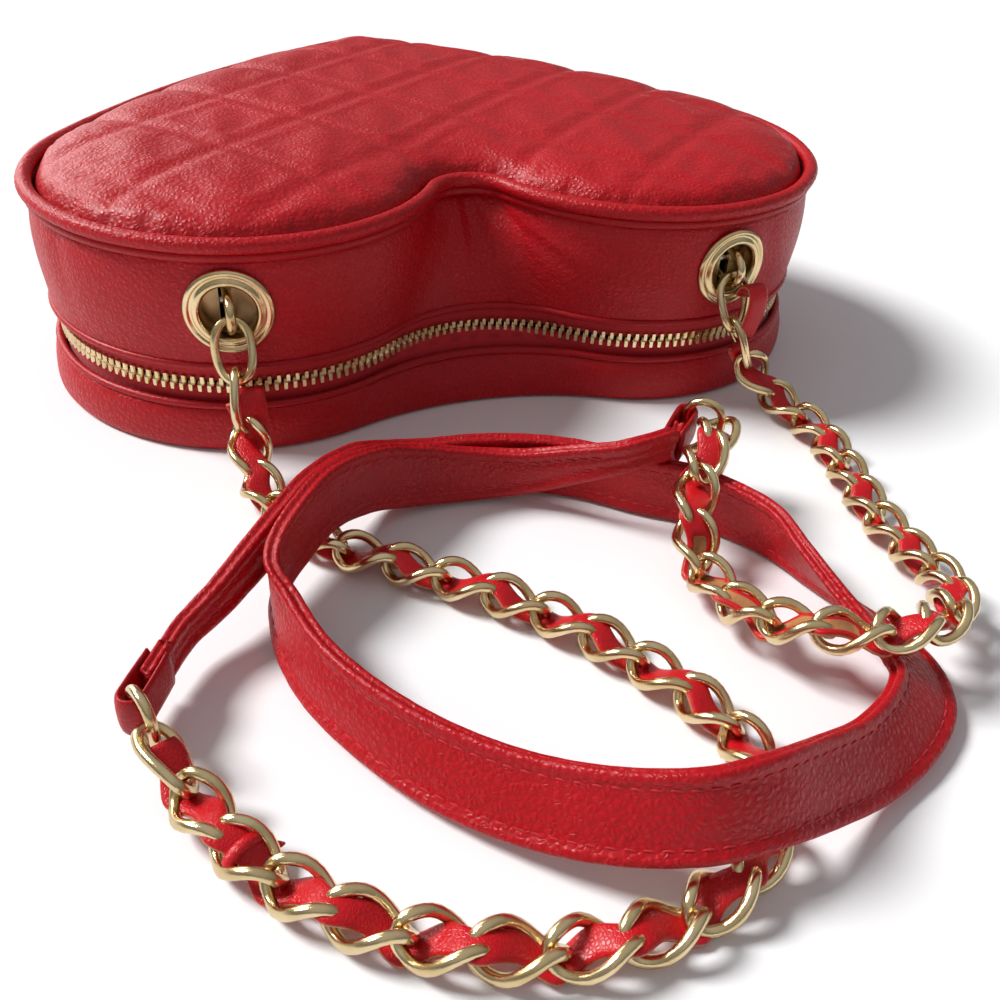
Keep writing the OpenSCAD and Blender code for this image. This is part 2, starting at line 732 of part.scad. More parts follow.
pad_starts = [tongue_l + seat_gap, tongue_l + pad_step];
pad_ends = [tongue_l + pad_step, tongue_l + seat_gap];
taper_from = 22;
taper_to = 75;
fold_play = 0.2;

// The pad's route starts and ends at the tongues of the two folds
function pad_end(rail, toward, far) =
    let (p = rail + far * flat_way(rail, toward)) [p.x, p.y, p.z - fold_w / 2, 0];

pad_middle = [for (row = pad_lay_shares)
    let (p = lay(row, pad_rest + pad_edge_t / 2 * abs(sin(row[3])))) [p.x, p.y, p.z, row[3]]];
left_way = flat_way(left_far, pad_middle[0]);
right_way = flat_way(right_far, pad_middle[len(pad_middle) - 1]);
pad_path = walk(smooth(concat(
    [for (far = pad_starts) pad_end(left_far, pad_middle[0], far)],
    pad_middle,
    [for (far = pad_ends) pad_end(right_far, pad_middle[len(pad_middle) - 1], far)]
)), pad_step);

// Half of the ribbon's section, from its lower piped edge to its upper one
edge_h = 1.6;
pad_rim_t = 2.5;
pad_side = [
    [0, pad_rim_t / 2], [edge_h, pad_edge_t / 2], [2 * edge_h, pad_t / 2],
    [pad_w - 2 * edge_h, pad_t / 2], [pad_w - edge_h, pad_edge_t / 2], [pad_w, pad_rim_t / 2]
];
pad_section = concat([for (p = pad_side) [p.x, -p.y]], [for (i = [len(pad_side) - 1:-1:0]) pad_side[i]]);

module shoulder_pad() {
    last = len(pad_path) - 1;
    color(leather_red) tube([for (i = [0:last])
        let (
            p = pad_path[i],
            t = unit(place_of(pad_path[min(i + 1, last)]) - place_of(pad_path[max(i - 1, 0)])),
            right = unit(cross(t, [0, 0, 1])),
            lean = [0, 0, 1] * cos(p[3]) + right * sin(p[3]),
            up = unit(lean - (lean * t) * t),
            n = cross(t, up),
            near = min(i, last - i) * pad_step,
            share = lookup(near, [[taper_from, fold_w / pad_w], [taper_to, 1]])
        )
        [for (c = pad_section) place_of(p) + up * c.x * share + n * c.y]]);
}

module fold(rail, way) {
    bore = wire_d + 2 * fold_play;
    translate(rail - [0, 0, fold_w / 2]) rotate([0, 0, atan2(way.y, way.x)]) difference() {
        union() {
            cylinder(d = bore + 2 * fold_t, h = fold_w, $fn = round_fn);
            translate([0, -pad_t / 2, 0]) cube([tongue_l, pad_t, fold_w]);
        }
        translate([0, 0, -overrun]) cylinder(d = bore, h = fold_w + 2 * overrun, $fn = round_fn);
    }
}

module pad_folds() {
    color(deep_red) {
        fold(left_far, left_way);
        fold(right_far, right_way);
    }
}

back_panel();
back_board();
base_lining();
lower_band();
lower_lip();
lower_lining();
lower_zip_tape();
lower_zip_teeth();
zip_end_stops();
tip_gusset();
zip_slider();
zip_puller();
front_panel();
front_board();
panel_piping();
seam_welt();
upper_gusset();
upper_lip();
upper_lining();
upper_zip_tape();
upper_zip_teeth();
left_eyelet();
right_eyelet();
left_eyelet_washer();
right_eyelet_washer();
stop_discs();
stop_pins();
anchor_links();
hook_links();
left_chain();
right_chain();
left_lace();
right_lace();
end_links();
shoulder_pad();
pad_folds();
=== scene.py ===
# %% [markdown]
# A heart shaped purse, dressed in Blender.
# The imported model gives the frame: every body, joint and size of the purse. This lesson
# puts leather, padding, a zip, a laced chain and a shoulder pad on that frame. Lengths
# are thought out in millimetres, as a bag maker would, and turned into metres at the end.

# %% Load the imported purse
import math

import bpy
import bmesh
import numpy as np
from mathutils import Matrix, Vector, noise
from mathutils.geometry import delaunay_2d_cdt


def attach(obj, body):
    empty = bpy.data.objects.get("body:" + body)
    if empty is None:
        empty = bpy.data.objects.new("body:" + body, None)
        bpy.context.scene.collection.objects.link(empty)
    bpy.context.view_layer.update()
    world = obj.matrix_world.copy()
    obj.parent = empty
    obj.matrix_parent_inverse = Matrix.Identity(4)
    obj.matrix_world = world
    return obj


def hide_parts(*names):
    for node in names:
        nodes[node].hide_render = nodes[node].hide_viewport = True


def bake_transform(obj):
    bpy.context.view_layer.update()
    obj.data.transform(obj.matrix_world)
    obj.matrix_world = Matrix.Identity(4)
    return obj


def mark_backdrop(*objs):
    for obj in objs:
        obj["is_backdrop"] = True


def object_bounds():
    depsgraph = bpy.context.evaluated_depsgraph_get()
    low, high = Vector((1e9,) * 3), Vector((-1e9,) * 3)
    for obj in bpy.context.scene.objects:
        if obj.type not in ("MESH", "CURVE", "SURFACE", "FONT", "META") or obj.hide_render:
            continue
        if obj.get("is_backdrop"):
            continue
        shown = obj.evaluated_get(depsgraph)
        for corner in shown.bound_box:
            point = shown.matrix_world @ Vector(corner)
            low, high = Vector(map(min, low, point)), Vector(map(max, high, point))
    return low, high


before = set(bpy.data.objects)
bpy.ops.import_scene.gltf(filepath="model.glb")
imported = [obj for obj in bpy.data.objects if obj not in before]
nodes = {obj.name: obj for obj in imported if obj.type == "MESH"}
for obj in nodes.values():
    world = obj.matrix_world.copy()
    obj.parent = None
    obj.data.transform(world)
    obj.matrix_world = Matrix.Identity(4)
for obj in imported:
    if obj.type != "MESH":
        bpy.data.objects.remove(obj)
cad_box = [list(corner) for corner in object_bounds()]
MM = 0.001

# %% [markdown]
# The camera comes first. It stands where the photographer stood: a little to the left of
# the cleft, about a third of a metre away, looking down on the strap. Its lens is given
# as a focal length in pixels of a picture 1000 pixels wide, which is easy to measure.

# %% Stand the camera
scene = bpy.context.scene
PHOTO_WIDTH = 1000
FOCAL_PIXELS = 1048.8
PITCH, AZIMUTH, ROLL = (math.radians(a) for a in (36.49, -20.11, 3.92))
EYE = Vector((-82.0, -327.1, 157.3)) * MM

ahead = Vector((-math.sin(AZIMUTH) * math.cos(PITCH), math.cos(AZIMUTH) * math.cos(PITCH),
                -math.sin(PITCH)))
level_right = Vector((math.cos(AZIMUTH), math.sin(AZIMUTH), 0))
level_up = level_right.cross(ahead)
right = level_right * math.cos(ROLL) + level_up * math.sin(ROLL)
up = level_up * math.cos(ROLL) - level_right * math.sin(ROLL)

lens = bpy.data.cameras.new("camera")
lens.sensor_width = 36
lens.lens = 36 * FOCAL_PIXELS / PHOTO_WIDTH
lens.clip_start, lens.clip_end = 0.01, 20
camera = bpy.data.objects.new("camera", lens)
camera.matrix_world = Matrix((
    (right.x, up.x, -ahead.x, EYE.x), (right.y, up.y, -ahead.y, EYE.y),
    (right.z, up.z, -ahead.z, EYE.z), (0, 0, 0, 1)))
scene.collection.objects.link(camera)
scene.camera = camera
scene.view_settings.view_transform = "Standard"
print(f"lens {lens.lens:.1f} mm")

# %% [markdown]
# Materials, trees of geometry nodes and the sky are all graphs of nodes. Writing one takes
# many near identical lines, so a helper makes a node, sets its plain values and joins its
# inputs in one call. A tuple of a node and an output name is a link, and anything else is
# a value.

# %% Helpers for graphs of nodes
def node_adder(tree):
    """Two functions for a tree: one adds a node, the other sets and joins its inputs."""
    def wire(node, inputs):
        for key, value in inputs.items():
            socket = node.inputs[key]
            if isinstance(value, tuple) and hasattr(value[0], "outputs"):
                tree.links.new(value[0].outputs[value[1]], socket)
            else:
                socket.default_value = value

    def add(kind, inputs=None, **settings):
        node = tree.nodes.new(kind)
        for key, value in settings.items():
            setattr(node, key, value)
        wire(node, inputs or {})
        return node

    return add, wire


def graph(name):
    """A new material, its shader, and the two functions that work on its nodes."""
    material = bpy.data.materials.new(name)
    material.use_nodes = True
    tree = material.node_tree
    return material, tree.nodes["Principled BSDF"], *node_adder(tree)


def ramp(add, factor, *stops):
    """A colour ramp from (place, colour) pairs."""
    node = add("ShaderNodeValToRGB", {"Fac": factor})
    bars = node.color_ramp.elements
    while len(bars) < len(stops):
        bars.new(0.5)
    for bar, (place, colour) in zip(bars, stops):
        bar.position = place
        bar.color = (*colour, 1) if hasattr(colour, "__len__") else (colour, colour, colour, 1)
    return node

# %% [markdown]
# The purse is pebbled leather. Tumbling the hide raises small rounded cells with fine
# creases between them. Voronoi cells, bent a little by noise, give the pebbles, and the
# distance to each cell's edge gives the creases, which are a bit duller and painted darker
# as painted shade. A slow noise shifts the red a little over the hide, as dye does. The
# pattern reads Object coordinates in metres, so a pebble has the same size on every piece.

# %% Pebbled leather
def leather(name, red, dark, pebble=1.25, depth=0.19, rough=0.31, coat=0.05):
    """Leather of one red. The pebble's size and depth are in millimetres."""
    material, shader, add, wire = graph(name)
    place = add("ShaderNodeTexCoord")
    bend = add("ShaderNodeTexNoise", {"Vector": (place, "Object"), "Scale": 420.0, "Detail": 2.0})
    bent = add("ShaderNodeVectorMath", {0: (bend, "Color"), 1: (0.0016,) * 3, 2: (place, "Object")},
               operation="MULTIPLY_ADD")
    cells = add("ShaderNodeTexVoronoi", {"Vector": (bent, "Vector"), "Scale": 1000 / pebble},
                feature="DISTANCE_TO_EDGE")
    lumps = add("ShaderNodeTexVoronoi", {"Vector": (bent, "Vector"), "Scale": 1000 / pebble,
                                         "Smoothness": 0.6}, feature="SMOOTH_F1")
    fine = add("ShaderNodeTexNoise", {"Vector": (place, "Object"), "Scale": 2600.0, "Detail": 3.0})
    slow = add("ShaderNodeTexNoise", {"Vector": (place, "Object"), "Scale": 18.0, "Detail": 3.0})
    crease = ramp(add, (cells, "Distance"), (0.0, 0.35), (0.10, 0.8), (0.35, 1.0))
    dome = ramp(add, (lumps, "Distance"), (0.05, 1.0), (0.8, 0.0))
    height = add("ShaderNodeMath", {0: (crease, "Color"), 1: (dome, "Color")}, operation="MULTIPLY")
    grain = add("ShaderNodeMath", {0: (fine, "Fac"), 1: 0.2, 2: (height, "Value")},
                operation="MULTIPLY_ADD")
    bump = add("ShaderNodeBump", {"Height": (grain, "Value"), "Strength": 1.0,
                                  "Distance": depth * MM})
    hide = ramp(add, (slow, "Fac"), (0.3, dark), (0.7, red))
    # Painted shade: the creases between the pebbles are painted darker, towards seven tenths of the
    # dark red.
    colour = add("ShaderNodeMix", {0: (crease, "Color"), 6: (*(c * 0.7 for c in dark), 1),
                                   7: (hide, "Color")}, data_type="RGBA")
    gloss = add("ShaderNodeMapRange", {"Value": (height, "Value"), "To Min": rough + 0.2,
                                       "To Max": rough - 0.02})
    wire(shader, {"Base Color": (colour, 2), "Roughness": (gloss, "Result"),
                  "Normal": (bump, "Normal"), "Specular IOR Level": 0.3, "Coat Weight": coat,
                  "Coat Roughness": 0.22})
    return material


red_leather = leather("red_leather", (0.52, 0.002, 0.009), (0.42, 0.001, 0.005))
turned_leather = leather("turned_leather", (0.47, 0.002, 0.008), (0.38, 0.001, 0.005),
                         pebble=1.0, depth=0.07)
print("leather materials made")

# %% [markdown]
# The metal is pale brass, plated and polished. Plain metal looks like plastic unless its
# roughness varies, so two noises put faint smears and hairline scratches on it, and the
# colour drifts between a paler and a warmer brass. The same graph makes the dull plate
# behind the eyelets and the steel of the pins.

# %% Brass and steel
def metal(name, pale, warm, rough=0.16, scratch=0.02):
    """Polished metal with faint smears and scratches."""
    material, shader, add, wire = graph(name)
    place = add("ShaderNodeTexCoord")
    slow = add("ShaderNodeTexNoise", {"Vector": (place, "Object"), "Scale": 120.0, "Detail": 4.0})
    drawn = add("ShaderNodeMapping", {"Vector": (place, "Object"), "Scale": (1, 9, 3)})
    hair = add("ShaderNodeTexNoise", {"Vector": (drawn, "Vector"), "Scale": 1500.0, "Detail": 5.0})
    colour = ramp(add, (slow, "Fac"), (0.35, pale), (0.7, warm))
    gloss = add("ShaderNodeMapRange", {"Value": (slow, "Fac"), "From Min": 0.3, "From Max": 0.75,
                                       "To Min": rough * 0.7, "To Max": rough * 1.6})
    bump = add("ShaderNodeBump", {"Height": (hair, "Fac"), "Strength": 1.0,
                                  "Distance": scratch * MM})
    wire(shader, {"Base Color": (colour, "Color"), "Roughness": (gloss, "Result"),
                  "Normal": (bump, "Normal"), "Metallic": 1.0})
    return material


pale_brass = metal("pale_brass", (0.80, 0.64, 0.38), (0.62, 0.46, 0.23))
dull_brass = metal("dull_brass", (0.52, 0.38, 0.20), (0.36, 0.24, 0.12), rough=0.34)
bright_steel = metal("bright_steel", (0.72, 0.71, 0.69), (0.60, 0.59, 0.57), rough=0.24)

# %% [markdown]
# The zip's tape and the lining are cloth. Two sets of wave bands crossing at right angles
# make a plain weave, and the hollows between its threads are painted darker as painted
# shade. On the tape the weave follows the piece's own UV map, whose numbers are metres
# along and across the tape, so that the threads run round the heart with it.

# %% Woven cloth and board
def cloth(name, bright, deep, thread=0.45, relief=0.05, source="UV"):
    """Plain weave. The thread's spacing and relief are in millimetres."""
    material, shader, add, wire = graph(name)
    place = add("ShaderNodeTexCoord")
    waves = []
    for axis in "XY":
        waves.append(add("ShaderNodeTexWave", {
            "Vector": (place, source), "Scale": 1000 / thread / 20, "Distortion": 0.4,
            "Detail": 1.0, "Detail Scale": 2.0}, bands_direction=axis))
    weave = add("ShaderNodeMath", {0: (waves[0], "Fac"), 1: (waves[1], "Fac")}, operation="MAXIMUM")
    slow = add("ShaderNodeTexNoise", {"Vector": (place, "Object"), "Scale": 60.0, "Detail": 3.0})
    mixed = add("ShaderNodeMath", {0: (slow, "Fac"), 1: 0.6, 2: (weave, "Value")},
                operation="MULTIPLY_ADD")
    # The colour is partly the cloth's own uneven tone, from the slow noise, and partly painted
    # shade: where the weave is low, between the threads, it is painted towards the deep colour.
    colour = ramp(add, (mixed, "Value"), (0.3, deep), (1.0, bright))
    bump = add("ShaderNodeBump", {"Height": (weave, "Value"), "Strength": 1.0,
                                  "Distance": relief * MM})
    wire(shader, {"Base Color": (colour, "Color"), "Roughness": 0.78, "Normal": (bump, "Normal"),
                  "Sheen Weight": 0.25, "Sheen Roughness": 0.4})
    return material


tape_cloth = cloth("tape_cloth", (0.50, 0.010, 0.018), (0.36, 0.005, 0.011))
lining_cloth = cloth("lining_cloth", (0.17, 0.012, 0.020), (0.10, 0.006, 0.012), thread=0.6)
board_fibre = cloth("board_fibre", (0.42, 0.37, 0.30), (0.33, 0.28, 0.22), thread=1.4, relief=0.03,
                    source="Object")

# %% [markdown]
# The lace is a strip cut from thin leather, red on its skin side, with raw tan edges and a
# tan flesh side. Its UV map runs along the strip and round it, so a ramp across the
# second number paints the skin, the two cut edges and the flesh.

# %% Laced leather
def lace_leather(name, red, tan):
    """Red skin, tan cut edges and a tan back, by the UV map's second number."""
    material, shader, add, wire = graph(name)
    place = add("ShaderNodeTexCoord")
    split = add("ShaderNodeSeparateXYZ", {"Vector": (place, "UV")})
    fray = add("ShaderNodeTexNoise", {"Vector": (place, "Object"), "Scale": 1400.0, "Detail": 4.0})
    ragged = add("ShaderNodeMath", {0: (fray, "Fac"), 1: 0.05, 2: (split, "Y")},
                 operation="MULTIPLY_ADD")
    side = ramp(add, (ragged, "Value"), (0.0, red), (0.50, red), (0.53, tan), (0.60, tan))
    pores = add("ShaderNodeTexVoronoi", {"Vector": (place, "Object"), "Scale": 1300.0},
                feature="DISTANCE_TO_EDGE")
    skin = ramp(add, (pores, "Distance"), (0.0, 0.0), (0.2, 1.0))
    # Painted shade: the colour is painted up to a tenth darker at the edges of the pores.
    shade = add("ShaderNodeMix", {0: 0.10, 6: (side, "Color"), 7: (skin, "Color")},
                data_type="RGBA", blend_type="MULTIPLY")
    bump = add("ShaderNodeBump", {"Height": (skin, "Color"), "Strength": 1.0,
                                  "Distance": 0.05 * MM})
    wire(shader, {"Base Color": (shade, 2), "Roughness": 0.34, "Normal": (bump, "Normal"),
                  "Specular IOR Level": 0.35, "Coat Weight": 0.05, "Coat Roughness": 0.25})
    return material


lace_hide = lace_leather("lace_hide", (0.56, 0.004, 0.010), (0.46, 0.20, 0.075))
red_thread = cloth("red_thread", (0.52, 0.008, 0.016), (0.36, 0.005, 0.010), thread=0.3,
                   source="Object")

# %% [markdown]
# Everything on the bag follows one outline: two round lobes, two long shallow flanks, a
# rounded tip and a soft cleft between the lobes. The cleft's fillet is tight at the front
# seam, where the leather is pulled in, and wide at the floor. The outline is a function
# of a distance outwards and a height, with the same number of points whatever the two
# are, so that rings at any heights can be joined by faces.

# %% The heart's outline
HEART_W, HEART_L = 224, 180
LOBE_R, FLANK_R, TIP_R = 54, 300, 16
CLEFT_HEIGHTS, CLEFT_RADII = (0, 18, 52), (100, 40, 12)
STEPS = (18, 110, 62, 16)

lobe = np.array([HEART_W / 2 - LOBE_R, LOBE_R - HEART_L / 2])
tip = np.array([0, HEART_L / 2 - TIP_R])
span = np.linalg.norm(tip - lobe)
way = (tip - lobe) / span
foot = (span**2 + (FLANK_R - LOBE_R) ** 2 - (FLANK_R - TIP_R) ** 2) / (2 * span)
flank = (lobe + way * foot
         - np.array([way[1], -way[0]]) * math.sqrt((FLANK_R - LOBE_R) ** 2 - foot**2))
FLANK_FROM = math.atan2(lobe[1] - flank[1], lobe[0] - flank[0])
FLANK_TO = math.atan2(tip[1] - flank[1], -flank[0])


def ring(off, z):
    """Points round the heart from the cleft, grown outwards by off, at height z."""
    cleft_r = float(np.interp(z, CLEFT_HEIGHTS, CLEFT_RADII))
    cleft = np.array([0, lobe[1] - math.sqrt((LOBE_R + cleft_r) ** 2 - lobe[0] ** 2)])
    turn = math.atan2(lobe[1] - cleft[1], lobe[0])
    arcs = ((cleft, cleft_r - off, math.pi / 2, turn),
            (lobe, LOBE_R + off, turn - math.pi, FLANK_FROM),
            (flank, FLANK_R + off, FLANK_FROM, FLANK_TO), (tip, TIP_R + off, FLANK_TO, math.pi / 2))
    half = []
    for (centre, radius, start, end), steps in zip(arcs, STEPS):
        for angle in start + (end - start) * np.arange(steps) / steps:
            half.append(centre + radius * np.array([math.cos(angle), math.sin(angle)]))
    half = np.array(half + [[0, HEART_L / 2 + off]])
    whole = np.vstack([half, half[-2:0:-1] * [-1, 1]])
    return np.column_stack([whole, np.full(len(whole), float(z))])


def lengths(points):
    """Length run at each point of a path."""
    steps = np.linalg.norm(np.diff(points, axis=0), axis=1)
    return np.concatenate([[0], np.cumsum(steps)])


seam = ring(0, 52)
run_round = lengths(seam)
HALF = sum(STEPS)
from_cleft = np.where(np.arange(len(seam)) <= HALF, run_round, run_round - run_round[-1] - 1.5)
print(f"{len(seam)} points round the heart, {run_round[-1]:.0f} mm along the front seam")

# %% [markdown]
# A piece of the purse is a mesh made from points in millimetres. This helper makes the
# object, gives it its material, sets its faces smooth, writes its UV map in metres, and
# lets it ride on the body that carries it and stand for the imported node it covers.

# %% Helpers that make a piece
def apply_modifiers(made):
    """Makes what a piece's modifiers give into its own mesh."""
    bpy.context.view_layer.update()
    mesh = bpy.data.meshes.new_from_object(
        made.evaluated_get(bpy.context.evaluated_depsgraph_get()))
    made.modifiers.clear()
    made.data = mesh


def piece(name, points, faces, material, body, replaces=(), uv=None, smooth=True,
          cut=()):
    """A mesh piece in the shared frame, from points in millimetres."""
    mesh = bpy.data.meshes.new(name)
    mesh.from_pydata((np.asarray(points, float) * MM).tolist(), [],
                     [tuple(map(int, f)) for f in faces])
    mesh.polygons.foreach_set("use_smooth", [smooth] * len(mesh.polygons))
    if uv is not None:
        corners = np.zeros(len(mesh.loops), int)
        mesh.loops.foreach_get("vertex_index", corners)
        spread = np.asarray(uv, float)[corners].reshape(-1, 4, 2) if closed_uv(faces) else None
        if spread is None:
            spread = np.asarray(uv, float)[corners]
        else:
            for axis in (0, 1):
                one = spread[..., axis]
                near_end = one.max(1, keepdims=True) - one > np.ptp(one) / 2
                spread[..., axis] += near_end * (np.ptp(one) + 0.001)
        layer = mesh.uv_layers.new(name="UVMap")
        layer.data.foreach_set("uv", spread.ravel())
    mesh.materials.append(material)
    made = bpy.data.objects.new(name, mesh)
    scene.collection.objects.link(made)
    if cut:
        carve(made, cut)
    return settle(made, body, replaces)


def closed_uv(faces):
    """True for a mesh of quads only, whose UV map may run once round and start again."""
    return all(len(f) == 4 for f in faces)


def carve(made, cutters):
    """Cuts shapes out of a piece for good."""
    for cutter in cutters:
        scene.collection.objects.link(cutter)
        hole = made.modifiers.new("hole", "BOOLEAN")
        hole.operation, hole.solver, hole.object = "DIFFERENCE", "EXACT", cutter
    apply_modifiers(made)
    for cutter in cutters:
        bpy.data.objects.remove(cutter)


def settle(made, body, replaces=()):
    """Sets a finished piece on its body."""
    if body:
        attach(made, body)
    if replaces:
        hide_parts(*replaces)
    print(f"{made.name}: {len(made.data.vertices)} points, {len(made.data.polygons)} faces")
    return made


def soften(section, rounds=2):
    """A closed section with its corners cut, round after round, until it is smooth."""
    p = np.array(section, float)
    for _ in range(rounds):
        n = np.roll(p, -1, axis=0)
        p = np.stack([p * 0.75 + n * 0.25, p * 0.25 + n * 0.75], axis=1).reshape(-1, p.shape[1])
    return p


def outward(points):
    """Unit vectors out of a ring, in its own plane."""
    d = np.roll(points, -1, axis=0) - np.roll(points, 1, axis=0)
    d /= np.linalg.norm(d, axis=1)[:, None]
    return np.column_stack([d[:, 1], -d[:, 0], np.zeros(len(d))])


def grid_faces(rows, columns, close_rows, close_columns):
    """Quads over a grid of points."""
    j, i = np.meshgrid(np.arange(rows if close_rows else rows - 1),
                       np.arange(columns if close_columns else columns - 1), indexing="ij")
    a = j * columns + i
    b = j * columns + (i + 1) % columns
    c = (j + 1) % rows * columns + (i + 1) % columns
    d = (j + 1) % rows * columns + i
    return np.stack([a, b, c, d], axis=-1).reshape(-1, 4)


def hoop(name, section, material, body, replaces=(), press=None, rounds=2, cut=()):
    """A closed section swept once round the heart. press moves a point outwards, given
    its distance from the cleft, its height and its place round the section."""
    section = soften(section, rounds)
    inside = section[:, 0].mean()
    rows, across = [], 0.0
    uv = []
    for k, (off, z) in enumerate(section):
        points = ring(off, z)
        if press:
            points = points + outward(points) * press(from_cleft, z, off - inside)[:, None]
        rows.append(points)
        uv.append(np.column_stack([run_round, np.full(len(points), across)]) * MM)
        across += np.linalg.norm(section[(k + 1) % len(section)] - section[k])
    faces = grid_faces(len(rows), len(rows[0]), True, True)
    return piece(name, np.vstack(rows), faces, material, body, replaces, np.vstack(uv),
                 cut=cut)


def bead(off, z, radius, count=10):
    """A round section, counterclockwise."""
    turn = np.arange(count) * 2 * math.pi / count
    return np.column_stack([off + radius * np.cos(turn), z + radius * np.sin(turn)])


def waver(along, size, seed=0.0):
    """Smooth noise between about -1 and 1 along a line."""
    return np.array([noise.noise(Vector((a / size, seed, seed * 0.7))) for a in along])

# %% [markdown]
# The two eyelets stand on the lobes, a little outwards of the middle of each, square to
# the leather. Their holes are cut through the leather and the lining before those pieces
# are set on their body.

# %% Where the eyelets stand
EYELET_X, EYELET_Z = 68.0, 40.0
EYELET_SEAT, HOLE_R, LINING_HOLE_R = 1.3035, 7.9, 9.6
EYELET_REACH = LOBE_R + EYELET_SEAT
EYELET_TURN = math.asin((EYELET_X - lobe[0]) / EYELET_REACH)
EYELET_Y = lobe[1] - EYELET_REACH * math.cos(EYELET_TURN)


def eyelet_frame(side):
    """The eyelet's own frame: X along the leather, Y up, Z out of the purse."""
    turn = Matrix.Rotation(side * EYELET_TURN, 4, "Z") @ Matrix.Rotation(math.pi / 2, 4, "X")
    return Matrix.Translation((side * EYELET_X, EYELET_Y, EYELET_Z)) @ turn


def eyelet_cutters(radius, low, high, around=48):
    """A round cutter through each eyelet."""
    out = []
    for side in (-1, 1):
        at = eyelet_frame(side)
        turns = np.arange(around) * 2 * math.pi / around
        corners = [(radius * math.cos(a), radius * math.sin(a)) for a in turns]
        points = [at @ Vector((x, y, z)) * MM for z in (low, high) for x, y in corners]
        faces = [(k, (k + 1) % around, around + (k + 1) % around, around + k)
                 for k in range(around)]
        faces += [tuple(range(around))[::-1], tuple(range(around, 2 * around))]
        mesh = bpy.data.meshes.new("cutter")
        mesh.from_pydata([tuple(p) for p in points], [], faces)
        out.append(bpy.data.objects.new("cutter", mesh))
    return out


print(f"eyelets at {EYELET_X:.1f}, {EYELET_Y:.1f}, turned {math.degrees(EYELET_TURN):.1f} degrees")

# %% [markdown]
# The lower half: a low leather band that flares a little onto the floor, and a turned
# edge along the zip. At the cleft the band is one wide curve, so it stays smooth. The
# leather isn't machined: slow noise swells it by a few tenths of a millimetre.

# %% Lower band and its turned edge
def band_press(s, z, side):
    """Slow swelling of the outer face, and puckers along the turned edge."""
    if side < 0:
        return np.zeros(len(s))
    swell = 0.35 * waver(s, 23, 1.3) * math.sin(math.pi * min(max(z / 12, 0), 1))
    pucker = 0.07 * np.sin(s * 2 * math.pi / 3.1) * math.exp(-(12.2 - z) / 1.2)
    return swell + pucker


hoop(
    "lower_band_leather",
    [(0.4, 0.05), (1.5, 0.3), (2.15, 1.6), (2.1, 4.5), (1.7, 7.8), (1.0, 10.2), (0.3, 11.5),
     (-0.5, 11.9),
     (-1.5, 11.7), (-1.8, 10.6), (-1.8, 6.0), (-1.8, 2.2), (-1.2, 0.5)],
    red_leather, "back_shell", ("lower_band",), band_press)
def edge_press(s, z, side):
    """Small puckers where the thread pulls the turned edge down."""
    return 0.06 * np.sin(s * 2 * math.pi / 3.1) + 0.12 * waver(s, 17, 4.1)


hoop("lower_turned_edge", bead(-0.35, 12.5, 1.05), turned_leather, "back_shell",
                  ("lower_lip",), edge_press, rounds=1)

# %% [markdown]
# The upper gusset is the tall wall between the zip and the front panel. It bellies out
# under the panel and is nipped in at the zip. At the cleft the leather has nowhere to go,
# so soft creases run down from the front seam. Each crease is a line across the wall, and
# the leather is pushed in along it and out on either side of it.

# %% Upper gusset with its creases
CREASES = [  # from (distance from cleft, height) to the same, width and depth
    (0.5, 51.5, 5, 25, 3.2, 1.5), (7, 51.5, 36, 30, 3.2, 0.5), (15, 52, 54, 37, 3.6, 0.3),
    (-3.5, 51, -9, 26, 2.6, 0.35), (-90, 50, -84, 28, 4, 0.35),
    (92, 50, 86, 28, 4, 0.35), (-128, 51, -119, 30, 4, 0.4), (131, 51, 118, 28, 4, 0.4),
]


def crease_depth(s, z):
    """How far the creases push the leather in at each point."""
    depth = np.zeros(len(s))
    for s0, z0, s1, z1, width, deep in CREASES:
        t = ((s - s0) * (s1 - s0) + (z - z0) * (z1 - z0)) / ((s1 - s0) ** 2 + (z1 - z0) ** 2)
        held = np.clip(t, 0, 1)
        gap = np.hypot(s - s0 - held * (s1 - s0), z - z0 - held * (z1 - z0)) / width
        fade = np.clip(1.15 - held, 0, 1)
        depth += deep * fade * (1.0 - 0.9 * gap**2) * np.exp(-(gap**2) / 1.3)
    return depth


def gusset_press(s, z, side):
    """Creases, slow swelling and the puckers of the two seams."""
    if side < 0:
        return -0.6 * crease_depth(s, z)
    room = math.sin(math.pi * min(max((z - 24.5) / 27.5, 0), 1))
    near_seams = math.exp(-(52.4 - z) / 1.4) + math.exp(-(z - 24.8) / 1.2)
    pucker = 0.09 * np.sin(s * 2 * math.pi / 3.3) * near_seams
    return 0.45 * waver(s, 26, 7.7) * room - crease_depth(s, z) + pucker


hoop(
    "upper_gusset_leather",
    [(-0.5, 24.6), (0.0, 25.0), (0.25, 27.5), (0.75, 31.5), (1.2, 35.5), (1.4, 39.5), (1.4, 43.0),
     (1.15, 46.5),
     (0.7, 49.5), (0.25, 51.4), (-0.3, 52.2), (-1.2, 52.2), (-1.8, 51.0), (-1.6, 46.0),
     (-1.2, 41.0), (-1.5, 35.0), (-1.8, 29.0), (-1.8, 25.6), (-1.3, 24.7)],
    red_leather, "front_shell", ("upper_gusset",), gusset_press,
    cut=eyelet_cutters(HOLE_R, -9, 6))
hoop("upper_turned_edge", bead(-0.35, 24.1, 1.0), turned_leather, "front_shell",
                  ("upper_lip",), edge_press, rounds=1)

# %% [markdown]
# Two cords run round the front panel. The narrow one is the welt on the gusset's seam,
# and the thick one above it is the panel's piping: leather folded over a cord and caught
# by a row of stitches, which pinch it lightly every few millimetres.

# %% Welt and piping
def cord_press(pinch):
    """A cord's own unevenness and the pinches of its stitches."""
    def press(s, z, side):
        return 0.05 * np.sin(s * 2 * math.pi / pinch) + 0.16 * waver(s, 14, pinch)
    return press


